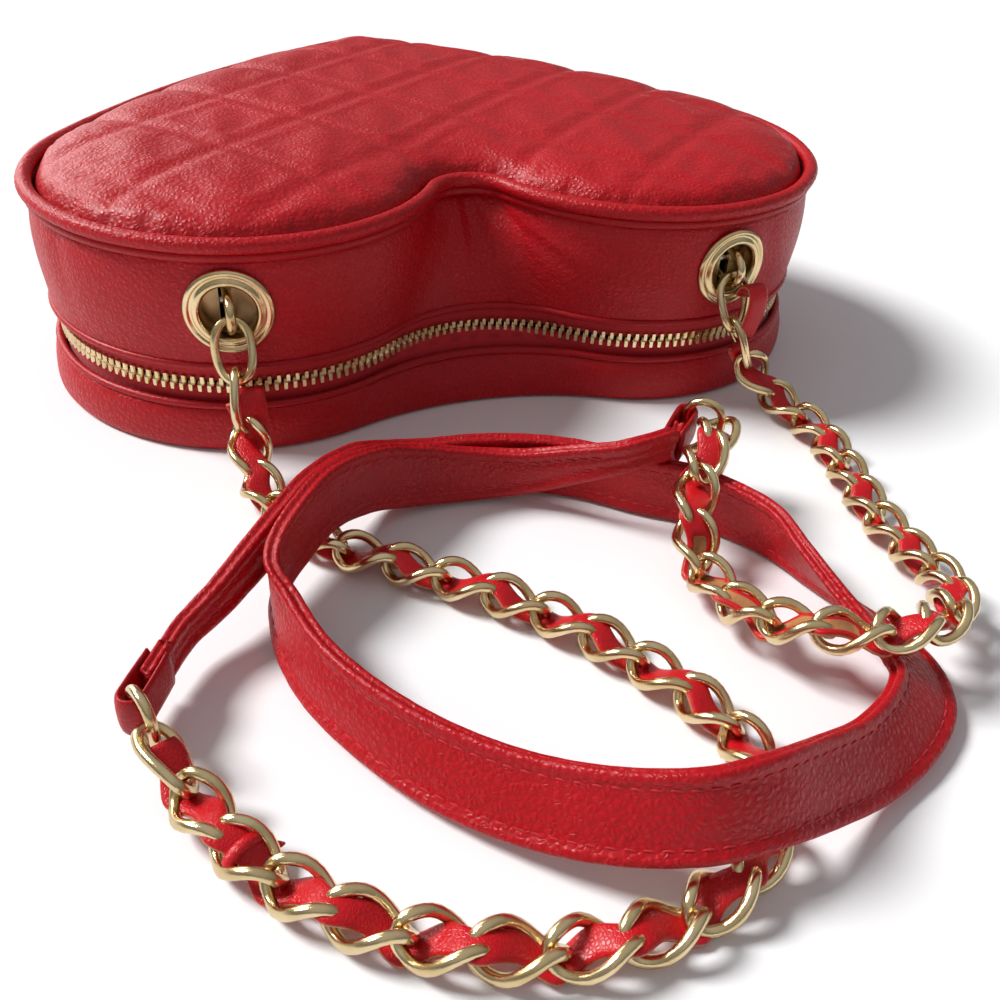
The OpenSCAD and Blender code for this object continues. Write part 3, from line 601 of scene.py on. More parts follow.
hoop("seam_welt_leather", bead(0.15, 53.3, 1.35), turned_leather, "front_shell",
            ("seam_welt",), cord_press(3.1), rounds=1)
hoop("panel_piping_leather", bead(0.6, 56.3, 2.05, 14), red_leather, "front_shell",
              ("panel_piping",), cord_press(3.4), rounds=1)

# %% [markdown]
# The front panel is a quilt: leather over foam, sewn down along two sets of lines that
# cross in diamonds. Its sheet is triangulated so that points lie exactly on the seams.
# Blender's cloth then does what the foam does: the seam points are pinned a little below
# the crown, pressure lifts the leather between them, and slightly too much leather makes
# it pucker.

# %% Where the quilt's seams run
PANEL_IN, GROOVE_Z, CROWN_RIM, CROWN_H = 1.8, 54.5, 56.2, 8.5
QUILT_NODE = np.array([27.0, -49.0])
QUILT_TURNS = [math.radians(a) for a in (-50, 42)]
QUILT_CELL, CELL_STEPS = 32.0, 14
SEAM_SINK, PUFF = 0.9, 0.3

rim = ring(-PANEL_IN, 52)[:, :2]
seam_ways = [np.array([math.cos(a), math.sin(a)]) for a in QUILT_TURNS]


def to_rim(points):
    """Distance of each point from the panel's rim."""
    fine = np.vstack([rim + (np.roll(rim, -1, axis=0) - rim) * t for t in (0, 0.5)])
    return np.sqrt(((points[:, None, :] - fine[None]) ** 2).sum(-1).min(1))


def crown(points):
    """Height of the padded front: steep at its shoulders and nearly level inside."""
    share = 1 - np.clip(to_rim(points) / 64, 0, 1)
    return CROWN_RIM + CROWN_H * np.sqrt(np.clip(1 - share**4, 0, 1))


def cell_place(points):
    """Place of a point in the quilt, as whole cells along each set of seams."""
    basis = np.column_stack([seam_ways[0], seam_ways[1]]) * QUILT_CELL
    return (np.linalg.inv(basis) @ (points - QUILT_NODE).T).T


steps = np.arange(-110, 111)
gu, gv = np.meshgrid(steps, steps, indexing="ij")
across_cells = gu[..., None] * seam_ways[0] + gv[..., None] * seam_ways[1]
lattice = QUILT_NODE + across_cells * QUILT_CELL / CELL_STEPS
lattice = lattice.reshape(-1, 2)
lattice = lattice[(abs(lattice[:, 0]) < 112) & (abs(lattice[:, 1]) < 90)]


def inside_rim(points):
    """True for points within the rim, by crossings of a line to the right."""
    a, b = rim, np.roll(rim, -1, axis=0)
    x, y = points[:, 0:1], points[:, 1:2]
    straddle = (a[:, 1] > y) != (b[:, 1] > y)
    rise = np.where(b[:, 1] == a[:, 1], 1e-9, b[:, 1] - a[:, 1])
    cut = a[:, 0] + (y - a[:, 1]) * (b[:, 0] - a[:, 0]) / rise
    return (straddle & (x < cut)).sum(1) % 2 == 1


lattice = lattice[inside_rim(lattice)]
lattice = lattice[to_rim(lattice) > 1.4]
sheet_points = [Vector(p) for p in np.vstack([rim, lattice])]
n_rim = len(rim)
rim_edges = [(i, (i + 1) % n_rim) for i in range(n_rim)]
flat, _, triangles, *_ = delaunay_2d_cdt(sheet_points, rim_edges, [], 1, 1e-5)
flat = np.array([tuple(p) for p in flat])
print(f"quilt: {len(flat)} points, {len(triangles)} triangles")

# %% Raise the quilt
cells = cell_place(flat)
edge_gap = to_rim(flat)
off_seam = abs(cells - np.round(cells)).min(axis=1) * QUILT_CELL
on_seam = off_seam < 0.2
fade = np.clip(edge_gap / 9, 0, 1)
start = crown(flat)
start[edge_gap < 0.05] = GROOVE_Z + 0.4
start -= SEAM_SINK * fade * np.exp(-((off_seam / 2.6) ** 2))
sheet = bpy.data.meshes.new("quilt_sheet")
sheet.from_pydata((np.column_stack([flat, start]) * MM).tolist(), [], triangles)
quilt = bpy.data.objects.new("quilted_front", sheet)
scene.collection.objects.link(quilt)
pinned = quilt.vertex_groups.new(name="pinned")
for place in np.where(on_seam | (edge_gap < 0.05))[0]:
    pinned.add([int(place)], 1.0, "REPLACE")


def puff_up(made, frames=16, cap=0.8):
    """Inflates a pinned sheet as cloth and applies the result, moving no point past the cap."""
    before = np.array([v.co for v in made.data.vertices])
    cloth_fit = made.modifiers.new("padding", "CLOTH")
    fit = cloth_fit.settings
    fit.quality, fit.mass = 6, 0.15
    fit.tension_stiffness = fit.compression_stiffness = 12
    fit.shear_stiffness, fit.bending_stiffness = 6, 1.2
    fit.vertex_group_mass, fit.pin_stiffness = "pinned", 1.0
    fit.use_pressure, fit.uniform_pressure_force = True, 0.7
    fit.shrink_min = -0.006
    fit.effector_weights.gravity = 0
    cloth_fit.point_cache.frame_start, cloth_fit.point_cache.frame_end = 1, frames
    for number in range(1, frames + 1):
        scene.frame_set(number)
    seen = made.evaluated_get(bpy.context.evaluated_depsgraph_get())
    after = np.array([v.co for v in seen.data.vertices])
    made.modifiers.remove(cloth_fit)
    scene.frame_set(1)
    move = after - before
    far = np.linalg.norm(move, axis=1)
    move *= np.minimum(1, cap * MM / np.maximum(far, 1e-9))[:, None]
    made.data.vertices.foreach_set("co", (before + move).ravel())
    print(f"padding rose {far.mean() / MM:.2f} mm on average, {far.max() / MM:.2f} mm at most")


puff_up(quilt)

# %% Close the quilt underneath and smooth it
top = np.array([v.co for v in quilt.data.vertices]) / MM
low = np.column_stack([flat[:n_rim], np.full(n_rim, GROOVE_Z)])
_, _, under, *_ = delaunay_2d_cdt(sheet_points[:n_rim], rim_edges, [], 1, 1e-5)
closing = [tuple(f) for f in triangles] + [tuple(len(top) + v for v in reversed(f)) for f in under]
closing += [(len(top) + i, len(top) + n, n, i) for i, n in rim_edges]
closed = bpy.data.meshes.new("quilted_front")
closed.from_pydata((np.vstack([top, low]) * MM).tolist(), [], closing)
quilt.data = closed
quilt.vertex_groups.clear()
rounding = quilt.modifiers.new("rounding", "SUBSURF")
rounding.levels = rounding.render_levels = 1
apply_modifiers(quilt)
quilt.data.materials.append(red_leather)
quilt.data.polygons.foreach_set("use_smooth", [True] * len(quilt.data.polygons))
settle(quilt, "front_shell", ("front_panel",))

# %% [markdown]
# The zip is where Geometry Nodes earn their keep: some five hundred teeth on a path round
# the heart. One tree resamples a path at the zip's pitch, sets a tooth on every point and
# turns it along the path. The modifier's inputs are set by their identifiers, and the
# result is turned into a plain mesh before it rides on its body.

# %% Helpers for trees of geometry nodes
def new_tree(name, inputs):
    """A geometry node tree with named inputs, and a function that adds nodes to it."""
    tree = bpy.data.node_groups.new(name, "GeometryNodeTree")
    tree.interface.new_socket("Geometry", in_out="INPUT", socket_type="NodeSocketGeometry")
    for label, kind in inputs:
        tree.interface.new_socket(label, in_out="INPUT", socket_type="NodeSocket" + kind)
    tree.interface.new_socket("Geometry", in_out="OUTPUT", socket_type="NodeSocketGeometry")
    enter = tree.nodes.new("NodeGroupInput")
    leave = tree.nodes.new("NodeGroupOutput")
    return tree, enter, leave, node_adder(tree)[0]


def grow(name, carrier, pitch, start, part, material):
    """Sets a part along a carrier's path at one pitch, as a plain mesh object."""
    values = {"Pitch": pitch * MM, "Start": start * MM, "Part": part, "Material": material}
    made = bpy.data.objects.new(name, carrier)
    scene.collection.objects.link(made)
    modifier = made.modifiers.new("nodes", "NODES")
    modifier.node_group = along_path
    for item in along_path.interface.items_tree:
        if item.item_type == "SOCKET" and item.in_out == "INPUT" and item.name in values:
            modifier[item.identifier] = values[item.name]
    apply_modifiers(made)
    if not made.data.materials:
        made.data.materials.append(material)
    return made


def path_mesh(points):
    """A mesh of edges along points in millimetres."""
    mesh = bpy.data.meshes.new("path")
    edges = [(i, i + 1) for i in range(len(points) - 1)]
    mesh.from_pydata((np.asarray(points, float) * MM).tolist(), edges, [])
    return mesh


def rod(name, rings):
    """A closed rod through rings of corners in millimetres, to be set along a path."""
    shape = bmesh.new()
    loops = [[shape.verts.new((x * MM, y * MM, z * MM)) for x, y, z in corners]
             for corners in rings]
    sides = len(loops[0])
    for a, b in zip(loops, loops[1:]):
        for k in range(sides):
            shape.faces.new((a[k], a[(k + 1) % sides], b[(k + 1) % sides], b[k]))
    shape.faces.new(loops[0])
    shape.faces.new(loops[-1])
    bmesh.ops.recalc_face_normals(shape, faces=shape.faces)
    mesh = bpy.data.meshes.new(name)
    shape.to_mesh(mesh)
    shape.free()
    return bpy.data.objects.new(name, mesh)

# %% The tree that sets pieces along a path
along_path, enter, leave, add = new_tree("pieces_along_a_path", [
    ("Pitch", "Float"), ("Start", "Float"), ("Part", "Object"), ("Material", "Material")])
to_curve = add("GeometryNodeMeshToCurve", {"Mesh": (enter, "Geometry")})
trimmed = add("GeometryNodeTrimCurve", {"Curve": (to_curve, "Curve"), 4: (enter, "Start"), 5: 10.0},
              mode="LENGTH")
spaced = add("GeometryNodeResampleCurve", {"Curve": (trimmed, "Curve"), "Length": (enter, "Pitch")},
             mode="LENGTH")
tangent = add("GeometryNodeInputTangent")
turned = add("FunctionNodeAlignRotationToVector", {"Vector": (tangent, "Tangent")}, axis="X",
             pivot_axis="Z")
part = add("GeometryNodeObjectInfo", {"Object": (enter, "Part")})
placed = add("GeometryNodeInstanceOnPoints", {
    "Points": (spaced, "Curve"), "Instance": (part, "Geometry"), "Rotation": (turned, "Rotation")})
real = add("GeometryNodeRealizeInstances", {"Geometry": (placed, "Instances")})
dyed = add("GeometryNodeSetMaterial", {"Geometry": (real, "Geometry"),
                                       "Material": (enter, "Material")})
leave.id_data.links.new(dyed.outputs["Geometry"], leave.inputs["Geometry"])

# %% [markdown]
# A tooth of a metal zip is a small clamp: two legs pinched over the tape and a rounded
# head that reaches past the middle, into the gap between two teeth of the other row. Here
# it is a box with softened corners, narrower at its head.

# %% Zip teeth
TOOTH_PITCH, TOOTH_W, TOOTH_T = 2.35, 1.35, 2.9
ZIP_Z, TOOTH_LEG, TOOTH_HEAD = 18.0, 2.1, 0.95


def tooth_shape(way):
    """One tooth, its head pointing up or down from the middle of the zip."""
    rows = [(-TOOTH_LEG, 0.42, 0.5), (-TOOTH_LEG + 0.35, 0.5, 0.5), (-0.3, 0.5, 0.5),
            (0.35, 0.44, 0.42), (TOOTH_HEAD - 0.25, 0.4, 0.36), (TOOTH_HEAD, 0.26, 0.24)]
    rings = []
    for z, wide, thick in rows:
        corners = [(-wide, -thick * 0.7), (-wide * 0.7, -thick), (wide * 0.7, -thick),
                   (wide, -thick * 0.7), (wide, thick * 0.7), (wide * 0.7, thick),
                   (-wide * 0.7, thick), (-wide, thick * 0.7)]
        rings.append([(x * TOOTH_W, y * TOOTH_T, z * way) for x, y in corners])
    return rod("tooth", rings)


def tooth_path(z):
    """From just past the tip, round the lobes and the cleft, to the tip again."""
    points = ring(-2.65, z)
    skip = STEPS[3] + 6
    return np.vstack([points[HALF + skip:], points[:HALF - skip + 1]])


for name, head, start, body, node in (
        ("lower_zip_teeth_brass", 1, 0.0, "back_shell", "lower_zip_teeth"),
        ("upper_zip_teeth_brass", -1, TOOTH_PITCH / 2, "front_shell", "upper_zip_teeth")):
    row = grow(name, path_mesh(tooth_path(ZIP_Z)), TOOTH_PITCH, start, tooth_shape(head),
               pale_brass)
    settle(row, body, (node,))

# %% [markdown]
# The tape is a woven ribbon with its edge turned under the leather. It shows as a smooth
# strip between the teeth and the turned edges, so its weave must be fine.

# %% Zip tapes
TAPE_OFF, TAPE_T = -2.2, 0.8


def tape(name, z0, z1, body, node):
    """A woven strip round the heart between two heights."""
    outer, inner = TAPE_OFF, TAPE_OFF - TAPE_T
    middle = (z0 + z1) / 2
    section = [(outer, z0), (outer, middle), (outer, z1), (inner, z1), (inner, middle), (inner, z0)]
    hoop(name, section, tape_cloth, body, (node,), rounds=1)


tape("lower_zip_tape_cloth", 8.5, 17.3, "back_shell", "lower_zip_tape")
tape("upper_zip_tape_cloth", 18.7, 27.5, "front_shell", "upper_zip_tape")

# %% [markdown]
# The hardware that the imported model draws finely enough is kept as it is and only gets
# its metal: the slider, its puller, the end stops, the washers, discs and pins behind
# the eyelets, and the two links at the ends of the shoulder pad.

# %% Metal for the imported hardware
METALS = {
    pale_brass: ("zip_slider", "zip_puller", "zip_end_stops", "left_eyelet_washer",
                 "right_eyelet_washer", "end_links"),
    dull_brass: ("stop_discs",),
    bright_steel: ("stop_pins",),
}
for material, names in METALS.items():
    for name in names:
        mesh = nodes[name].data
        mesh.materials.clear()
        mesh.materials.append(material)
        mesh.polygons.foreach_set("material_index", [0] * len(mesh.polygons))
print("packed nodes given metal:", sum(len(names) for names in METALS.values()))

# %% [markdown]
# Flat parts are slabs: the outline drawn at a few heights, with softened edges, closed
# above and below. The back panel is leather. The two boards are brown fibre. The floor
# of the lining is cloth.

# %% Panels and boards
def slab(name, off, z0, z1, level, round_off, material, body, node):
    """A flat heart between two heights, drawn with the cleft of one level."""
    shape = ring(off, level)
    inner = ring(off - round_off, level)
    rows = []
    for points, z in ((inner, z0), (shape, z0 + round_off), (shape, z1 - round_off), (inner, z1)):
        rows.append(np.column_stack([points[:, :2], np.full(len(points), z)]))
    n = len(shape)
    faces = [tuple(f) for f in grid_faces(4, n, False, True)]
    faces += [tuple(range(n))[::-1], tuple(range(3 * n, 4 * n))]
    return piece(name, np.vstack(rows), faces, material, body, (node,), smooth=False)


slab("back_panel_leather", -0.2, 0.0, 1.8, 1.8, 0.5, turned_leather, "back_shell", "back_panel")
slab("back_stiffener", -1.8, 1.8, 3.8, 3.8, 0.3, board_fibre, "back_shell", "back_board")
slab("front_stiffener", -3.0, 52.6, 54.4, 52, 0.3, board_fibre, "front_shell", "front_board")
slab("floor_lining_cloth", -2.2, 3.8, 4.3, 4.3, 0.1, lining_cloth, "back_shell", "base_lining")

# %% [markdown]
# The side linings hang inside the leather walls. Cloth that is only caught at its upper
# and lower edges stands off in slow vertical folds, so the wave is strongest halfway up.

# %% Side linings
LINING_OUT, LINING_IN = -4.2, -4.7


def lining_press(low, high):
    """Slow upright folds between two seams."""
    def press(s, z, side):
        room = math.sin(math.pi * min(max((z - low) / (high - low), 0), 1))
        return room * (0.5 * np.sin(s / 5.5) + 0.7 * waver(s, 21, low)) * 0.6
    return press


for name, heights, body, node, holes in (
        ("lower_lining_cloth", (4.3, 8.5, 12.9), "back_shell", "lower_lining", ()),
        ("upper_lining_cloth", (23.1, 27, 31, 35, 39, 43, 47, 50.2), "front_shell", "upper_lining",
         eyelet_cutters(LINING_HOLE_R, -14, 0.5))):
    section = [(LINING_OUT, z) for z in heights] + [(LINING_IN, z) for z in heights[::-1]]
    hoop(name, section, lining_cloth, body, (node,),
         lining_press(heights[0], heights[-1]), rounds=1, cut=holes)

# %% [markdown]
# Each eyelet is a tube rolled over at its mouth. From the front that reads as two rounded
# ridges with a groove between them: the turned rim of the flange, and the inner roll
# round the hole. The profile is drawn once and turned about the eyelet's axis. The flange
# is then bent a little, so that it lies on the round lobe.

# %% Eyelets
EYELET_PROFILE = [
    (6.72, -4.3), (6.70, -2.0), (6.70, 0.2), (6.78, 0.75), (7.05, 1.25), (7.5, 1.52), (8.0, 1.5),
    (8.45, 1.2), (8.75, 0.88), (9.1, 0.74), (9.45, 0.86), (9.75, 1.08), (10.1, 1.16), (10.5, 1.0),
    (10.85, 0.6), (11.0, 0.1), (10.9, -0.3), (10.5, -0.42), (9.0, -0.42), (7.9, -0.45), (7.6, -0.8),
    (7.58, -2.0), (7.58, -4.3),
]


def lathe(profile, around=96, hug=0.0):
    """Points of a closed profile turned about Z. hug bends them back onto a round wall."""
    rows = []
    for turn in np.arange(around) * 2 * math.pi / around:
        for r, z in profile:
            x = r * math.cos(turn)
            outer = min(max((z + 0.6) / 0.6, 0), 1)
            rows.append((x, r * math.sin(turn), z - hug * outer * x * x / (2 * LOBE_R)))
    return np.array(rows)


for side, label in ((-1, "left"), (1, "right")):
    points = lathe(EYELET_PROFILE, hug=0.62)
    at = eyelet_frame(side)
    points = [at @ Vector(p) for p in points]
    piece(f"{label}_eyelet_brass", points, grid_faces(96, len(EYELET_PROFILE), True, True),
                 pale_brass, "front_shell", (f"{label}_eyelet",))

# %% [markdown]
# The tip gusset is the small leather hinge behind the zip's two ends. It is the one piece
# that crosses the lid's joint. It is a soft fold, and it is set on neither shell.

# %% Tip gusset
tip_rows = []
for off, z in soften([(-0.3, 15.0), (0.3, 16.6), (0.55, 17.8), (0.3, 19.0), (-0.3, 20.5),
                      (-1.2, 20.5), (-0.7, 17.8), (-1.2, 15.0)], 2):
    points = ring(off, z)[HALF - 22:HALF + 23]
    tip_rows.append(points)
count = len(tip_rows[0])
tip_faces = [tuple(f) for f in grid_faces(len(tip_rows), count, True, False)]
tip_faces += [tuple(k * count for k in range(len(tip_rows))),
              tuple(k * count + count - 1 for k in range(len(tip_rows)))[::-1]]
tip_gusset = piece("tip_gusset_leather", np.vstack(tip_rows), tip_faces, turned_leather, None,
                   ("tip_gusset",))
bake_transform(tip_gusset)

# %% [markdown]
# The strap lies in a loop in front of the bag: a chain with a lace woven through it, then
# a folded leather ribbon, then chain again. Its route was laid out over the photo, as
# shares of the eyelets' place and of the strap's reach, and a smooth curve runs through
# those marks. The joints of the chain stand along it at one pitch.

# %% The route of the chain
LINK_L, LINK_W, WIRE = 17.0, 11.0, 2.1
LINK_PITCH = LINK_L - 2 * WIRE - 0.7
APEX_PAST = (LINK_L - WIRE) / 2 - LINK_PITCH / 2
BOW_R = (LINK_W - WIRE) / 2
LACE_T, LACE_LIFT = 1.1, 3.5
LACE_REST = LACE_LIFT + LACE_T / 2 + 0.3
REACH, PAD_W = 150.0, 16.0

LEFT_LAY_SHARES = [
    (-0.99, 0.1, 0.2), (-0.96, 0.18, 0.01), (-0.88, 0.25, 0), (-0.78, 0.31, 0), (-0.6, 0.37, 0),
    (-0.42, 0.435, 0), (-0.26, 0.5, 0), (-0.12, 0.57, 0), (0.01, 0.655, 0), (0.11, 0.74, 0),
    (0.17, 0.825, 0), (0.14, 0.91, 0), (0.02, 0.975, 0), (-0.16, 1.015, 0), (-0.36, 1.03, 0),
    (-0.57, 1.02, 0), (-0.78, 0.985, 0), (-0.98, 0.93, 0), (-1.15, 0.855, 0), (-1.28, 0.77, 0.05),
    (-1.36, 0.69, 0.2), (-1.4, 0.645, 0.31)]
RIGHT_LAY_SHARES = [
    (1.16, 0.065, 0.2), (1.24, 0.13, 0.01), (1.25, 0.22, 0), (1.2, 0.33, 0), (1.16, 0.43, 0),
    (1.145, 0.52, 0.03), (1.135, 0.6, 0.15), (1.07, 0.68, 0.36), (0.94, 0.737, 0.57),
    (0.775, 0.76, 0.69), (0.605, 0.747, 0.7), (0.465, 0.7, 0.54), (0.385, 0.63, 0.3),
    (0.355, 0.555, 0.14), (0.36, 0.48, 0.32), (0.42, 0.41, 0.82), (0.51, 0.355, 1.08),
    (0.6, 0.31, 1.08), (0.67, 0.275, 1)]


def lay(row, rest):
    """A mark of the route in millimetres, at rest on a height plus its own share."""
    return np.array([row[0] * EYELET_X, EYELET_Y - 4 - row[1] * REACH, rest + row[2] * PAD_W])


def unit(v):
    return v / np.linalg.norm(v)


def smooth_route(marks, steps=8):
    """A Catmull-Rom curve through marks of any number of columns."""
    marks = np.asarray(marks, float)
    last = len(marks) - 1
    out = []
    for i in range(last):
        a, b, c, d = marks[max(i - 1, 0)], marks[i], marks[i + 1], marks[min(i + 2, last)]
        for t in np.arange(steps) / steps:
            bend, twist = 2 * a - 5 * b + 4 * c - d, 3 * b - a - 3 * c + d
            out.append((2 * b + (c - a) * t + bend * t**2 + twist * t**3) / 2)
    return np.array(out + [marks[-1]])


def walk(path, step):
    """Points at equal steps along a route, no longer than step."""
    s = lengths(path[:, :3])
    count = math.ceil(s[-1] / step)
    at = s[-1] * np.arange(count + 1) / count
    return np.column_stack([np.interp(at, s, path[:, k]) for k in range(path.shape[1])])


hook = np.array([0, -math.sin(math.radians(23)), -math.cos(math.radians(23))])
bow = np.array([EYELET_X, EYELET_Y - 5.25 + BOW_R, EYELET_Z])
chain_top = bow + (BOW_R - APEX_PAST + LINK_PITCH) * hook


def chain_joints(side, shares):
    """The joints of one chain, from the hook link to the end link."""
    top = chain_top * [side, 1, 1]
    rest = [lay(row, LACE_REST) for row in shares]
    out = unit((rest[0] - top) * [1, 1, 0])
    lean = math.radians(28)
    first = top + LINK_PITCH * (out * math.sin(lean) - np.array([0, 0, math.cos(lean)]))
    return walk(smooth_route([top, first] + rest), LINK_PITCH)


def carried_sides(path):
    """The sideways direction of each link, carried along the chain and kept level."""
    s = np.array([1.0, 0, 0])
    out = []
    for a, b in zip(path, path[1:]):
        t = unit(b - a)
        flat = np.cross([0, 0, 1], t)
        near = -flat if flat @ s < 0 else flat
        c = s + 0.5 * near
        s = unit(c - (c @ t) * t)
        out.append(s)
    return np.array(out)


left_joints, right_joints = chain_joints(-1, LEFT_LAY_SHARES), chain_joints(1, RIGHT_LAY_SHARES)
left_sides, right_sides = carried_sides(left_joints), carried_sides(right_joints)
print(f"{len(left_joints) - 1} links on the left, {len(right_joints) - 1} on the right")

# %% [markdown]
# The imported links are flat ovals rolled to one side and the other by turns. Looked at
# closely, the real ones are curb links: each oval is twisted along its length, so that
# its two ends cross its neighbours and its sides run slantwise over the lace. The wire
# follows an oval whose plane turns on the way from one end to the other.

# %% The links
WIRE_SHOWN = 2.3
TWIST, FIRST_ROLL, HOOK_ROLL, LAST_ROLL = -56, -74, -26, 28
OVAL_STEPS, WIRE_SIDES = 40, 10


def curb_link(start, end, side, roll_start, roll_end):
    """Points of one twisted link, ring by ring round its wire."""
    t = unit(end - start)
    s = unit(side - (side @ t) * t)
    w = np.cross(t, s)
    turns = np.arange(OVAL_STEPS) * 2 * math.pi / OVAL_STEPS
    x, y = np.cos(turns), np.sin(turns)
    x, y = np.sign(x) * abs(x) ** 0.9, np.sign(y) * abs(y) ** 0.85
    share = (x + 1) / 2
    roll = np.radians(
        roll_start + (roll_end - roll_start) * share * share * (3 - 2 * share))[:, None]
    wide, normal = s * np.cos(roll) + w * np.sin(roll), w * np.cos(roll) - s * np.sin(roll)
    line = (start + end) / 2 + t * (LINK_L - WIRE) / 2 * x[:, None] + wide * BOW_R * y[:, None]
    ways = np.roll(line, -1, axis=0) - np.roll(line, 1, axis=0)
    ways /= np.linalg.norm(ways, axis=1)[:, None]
    u = normal - (normal * ways).sum(1)[:, None] * ways
    u /= np.linalg.norm(u, axis=1)[:, None]
    v = np.cross(ways, u)
    around = np.arange(WIRE_SIDES) * 2 * math.pi / WIRE_SIDES
    out = u[:, None] * np.cos(around)[:, None] + v[:, None] * np.sin(around)[:, None]
    return (line[:, None] + WIRE_SHOWN / 2 * out).reshape(-1, 3)


def curb_chain(name, path, across, last_roll, node):
    """All links of one chain as one piece. The first hangs on edge from the hook link."""
    points, faces = [], []
    shape = grid_faces(OVAL_STEPS, WIRE_SIDES, True, True)
    last = len(path) - 2
    for k in range(last + 1):
        roll_start = FIRST_ROLL if k == 0 else -TWIST
        roll_end = last_roll if k == last else TWIST
        faces.append(shape + sum(len(p) for p in points))
        points.append(curb_link(path[k], path[k + 1], across[k], roll_start, roll_end))
    piece(name, np.vstack(points), np.vstack(faces), pale_brass, "strap", (node,))


def eyelet_links(name, start, end, side, turned_by, body, node):
    """One link at each eyelet, as one piece."""
    rings = [curb_link(start * [k, 1, 1], end * [k, 1, 1], side, 0, k * turned_by) for k in (-1, 1)]
    shape = grid_faces(OVAL_STEPS, WIRE_SIDES, True, True)
    faces = np.vstack([shape, shape + len(rings[0])])
    piece(name, np.vstack(rings), faces, pale_brass, body, (node,))


hook_top = bow + (BOW_R - APEX_PAST) * hook
anchor_out = bow - [0, BOW_R - APEX_PAST, 0]
eyelet_links("anchor_links_brass", anchor_out + [0, LINK_PITCH, 0], anchor_out,
             np.array([0, 0, 1.0]), 0, "front_shell", "anchor_links")
eyelet_links("hook_links_brass", hook_top, chain_top, np.array([1.0, 0, 0]), HOOK_ROLL,
             "hook_links", "hook_links")
curb_chain("left_chain_brass", left_joints, left_sides, LAST_ROLL, "left_chain")
curb_chain("right_chain_brass", right_joints, right_sides, -LAST_ROLL, "right_chain")

# %% [markdown]
# The lace goes over one joint of the chain and under the next, so its height above the
# chain's middle is a cosine of the number of links passed. Its section is a flat strip
# with slightly lifted edges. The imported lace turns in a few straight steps, and this one
# in many small ones. Here and there a stretch of it lies with its tan back showing.

# %% The laces
LACE_SECTION = [  # across, up, and the UV map's second number
    (2.5, 0.66, 0.25), (1.9, 0.84, 0.25), (1.0, 0.92, 0.25), (0, 0.94, 0.25), (-1.0, 0.92, 0.25),
    (-1.9, 0.84, 0.25), (-2.5, 0.66, 0.25), (-2.82, 0.34, 0.3), (-2.9, 0.06, 0.75),
    (-2.9, -0.10, 0.75), (-2.78, -0.40, 0.3), (-2.3, -0.72, 0.25), (-1.2, -0.86, 0.25),
    (0, -0.9, 0.25), (1.2, -0.86, 0.25), (2.3, -0.72, 0.25), (2.78, -0.40, 0.3), (2.9, -0.10, 0.75),
    (2.9, 0.06, 0.75), (2.82, 0.34, 0.3)]
LACE_SWING, LACE_SWAY, LACE_SAG = 2.4, -0.9, 0.7
LACE_FROM, LACE_SHORT = 0.55, 1.25  # in links, from the first joint and from the last
TAN_SLIT = (13.4, 17.6)


def between(rows, u):
    """A value part way between two rows."""
    k = min(max(math.floor(u), 0), len(rows) - 1)
    n = min(k + 1, len(rows) - 1)
    return rows[k] + (rows[n] - rows[k]) * (u - math.floor(u))


def tube_faces(rows, columns):
    """Quads along a tube, and a face on each end."""
    faces = [tuple(f) for f in grid_faces(rows, columns, False, True)]
    last = (rows - 1) * columns
    return faces + [tuple(range(columns))[::-1], tuple(range(last, last + columns))]


def woven_lace(name, path, across, backs, node):
    """A strip woven through a chain. backs are stretches, in links, that show the tan back."""
    first, last = LACE_FROM, len(path) - LACE_SHORT
    ways = np.diff(path, axis=0)
    ways /= np.linalg.norm(ways, axis=1)[:, None]
    steps = int((last - first) * 14)
    rows, uv = [], []
    for u in first + (last - first) * np.arange(steps + 1) / steps:
        base = between(path, u)
        t = unit(between(ways, u - 0.5))
        side = between(across, u - 0.5)
        s = unit(side - (side @ t) * t)
        rise = np.cross(t, s)
        climb = -LACE_SWING * math.pi * math.sin(math.pi * u)
        n = unit(np.cross(t * LINK_PITCH + rise * climb, s))
        middle = (base + rise * (LACE_SWING * math.cos(math.pi * u) - LACE_SAG)
                  - s * LACE_SWAY * math.cos(2 * math.pi * u))
        wide = 1 + 0.03 * noise.noise(Vector((u * 0.9, 3.0, 0)))
        tan = any(a <= u <= b for a, b in backs)
        for x, y, v in LACE_SECTION:
            slit = tan and y > 0.87 and abs(x) < 1.1
            rows.append(middle + s * x * wide + n * (y - 0.6 * slit))
            uv.append((u * LINK_PITCH * MM, 0.75 if slit else v))
    columns = len(LACE_SECTION)
    return piece(name, rows, tube_faces(steps + 1, columns), lace_hide, "strap", (node,),
                 uv)


woven_lace("left_lace_leather", left_joints, left_sides, (), "left_lace")
woven_lace("right_lace_leather", right_joints, right_sides, (TAN_SLIT,), "right_lace")

# %% [markdown]
# The lace's two ends at the bag are turned over the first link and left as flat tails,
# and near the far end of the left chain it was joined with a small tie. These are short
# strips and a ring of the same leather.

# %% Tails and the tie
def strip(name, line, side_way, body, wide=1.0, thick=1.0):
    """The lace's section swept along a smooth line of marks in millimetres."""
    line = walk(smooth_route(line), 0.7)
    rows, uv = [], []
    for k, p in enumerate(line):
        t = unit(line[min(k + 1, len(line) - 1)] - line[max(k - 1, 0)])
        side = unit(side_way - (side_way @ t) * t)
        n = np.cross(t, side)
        for x, y, v in LACE_SECTION:
            rows.append(p + side * x * wide + n * y * thick)
            uv.append((k * 0.7 * MM, v))
    return piece(name, rows, tube_faces(len(line), len(LACE_SECTION)), lace_hide, body, (),
                 uv)


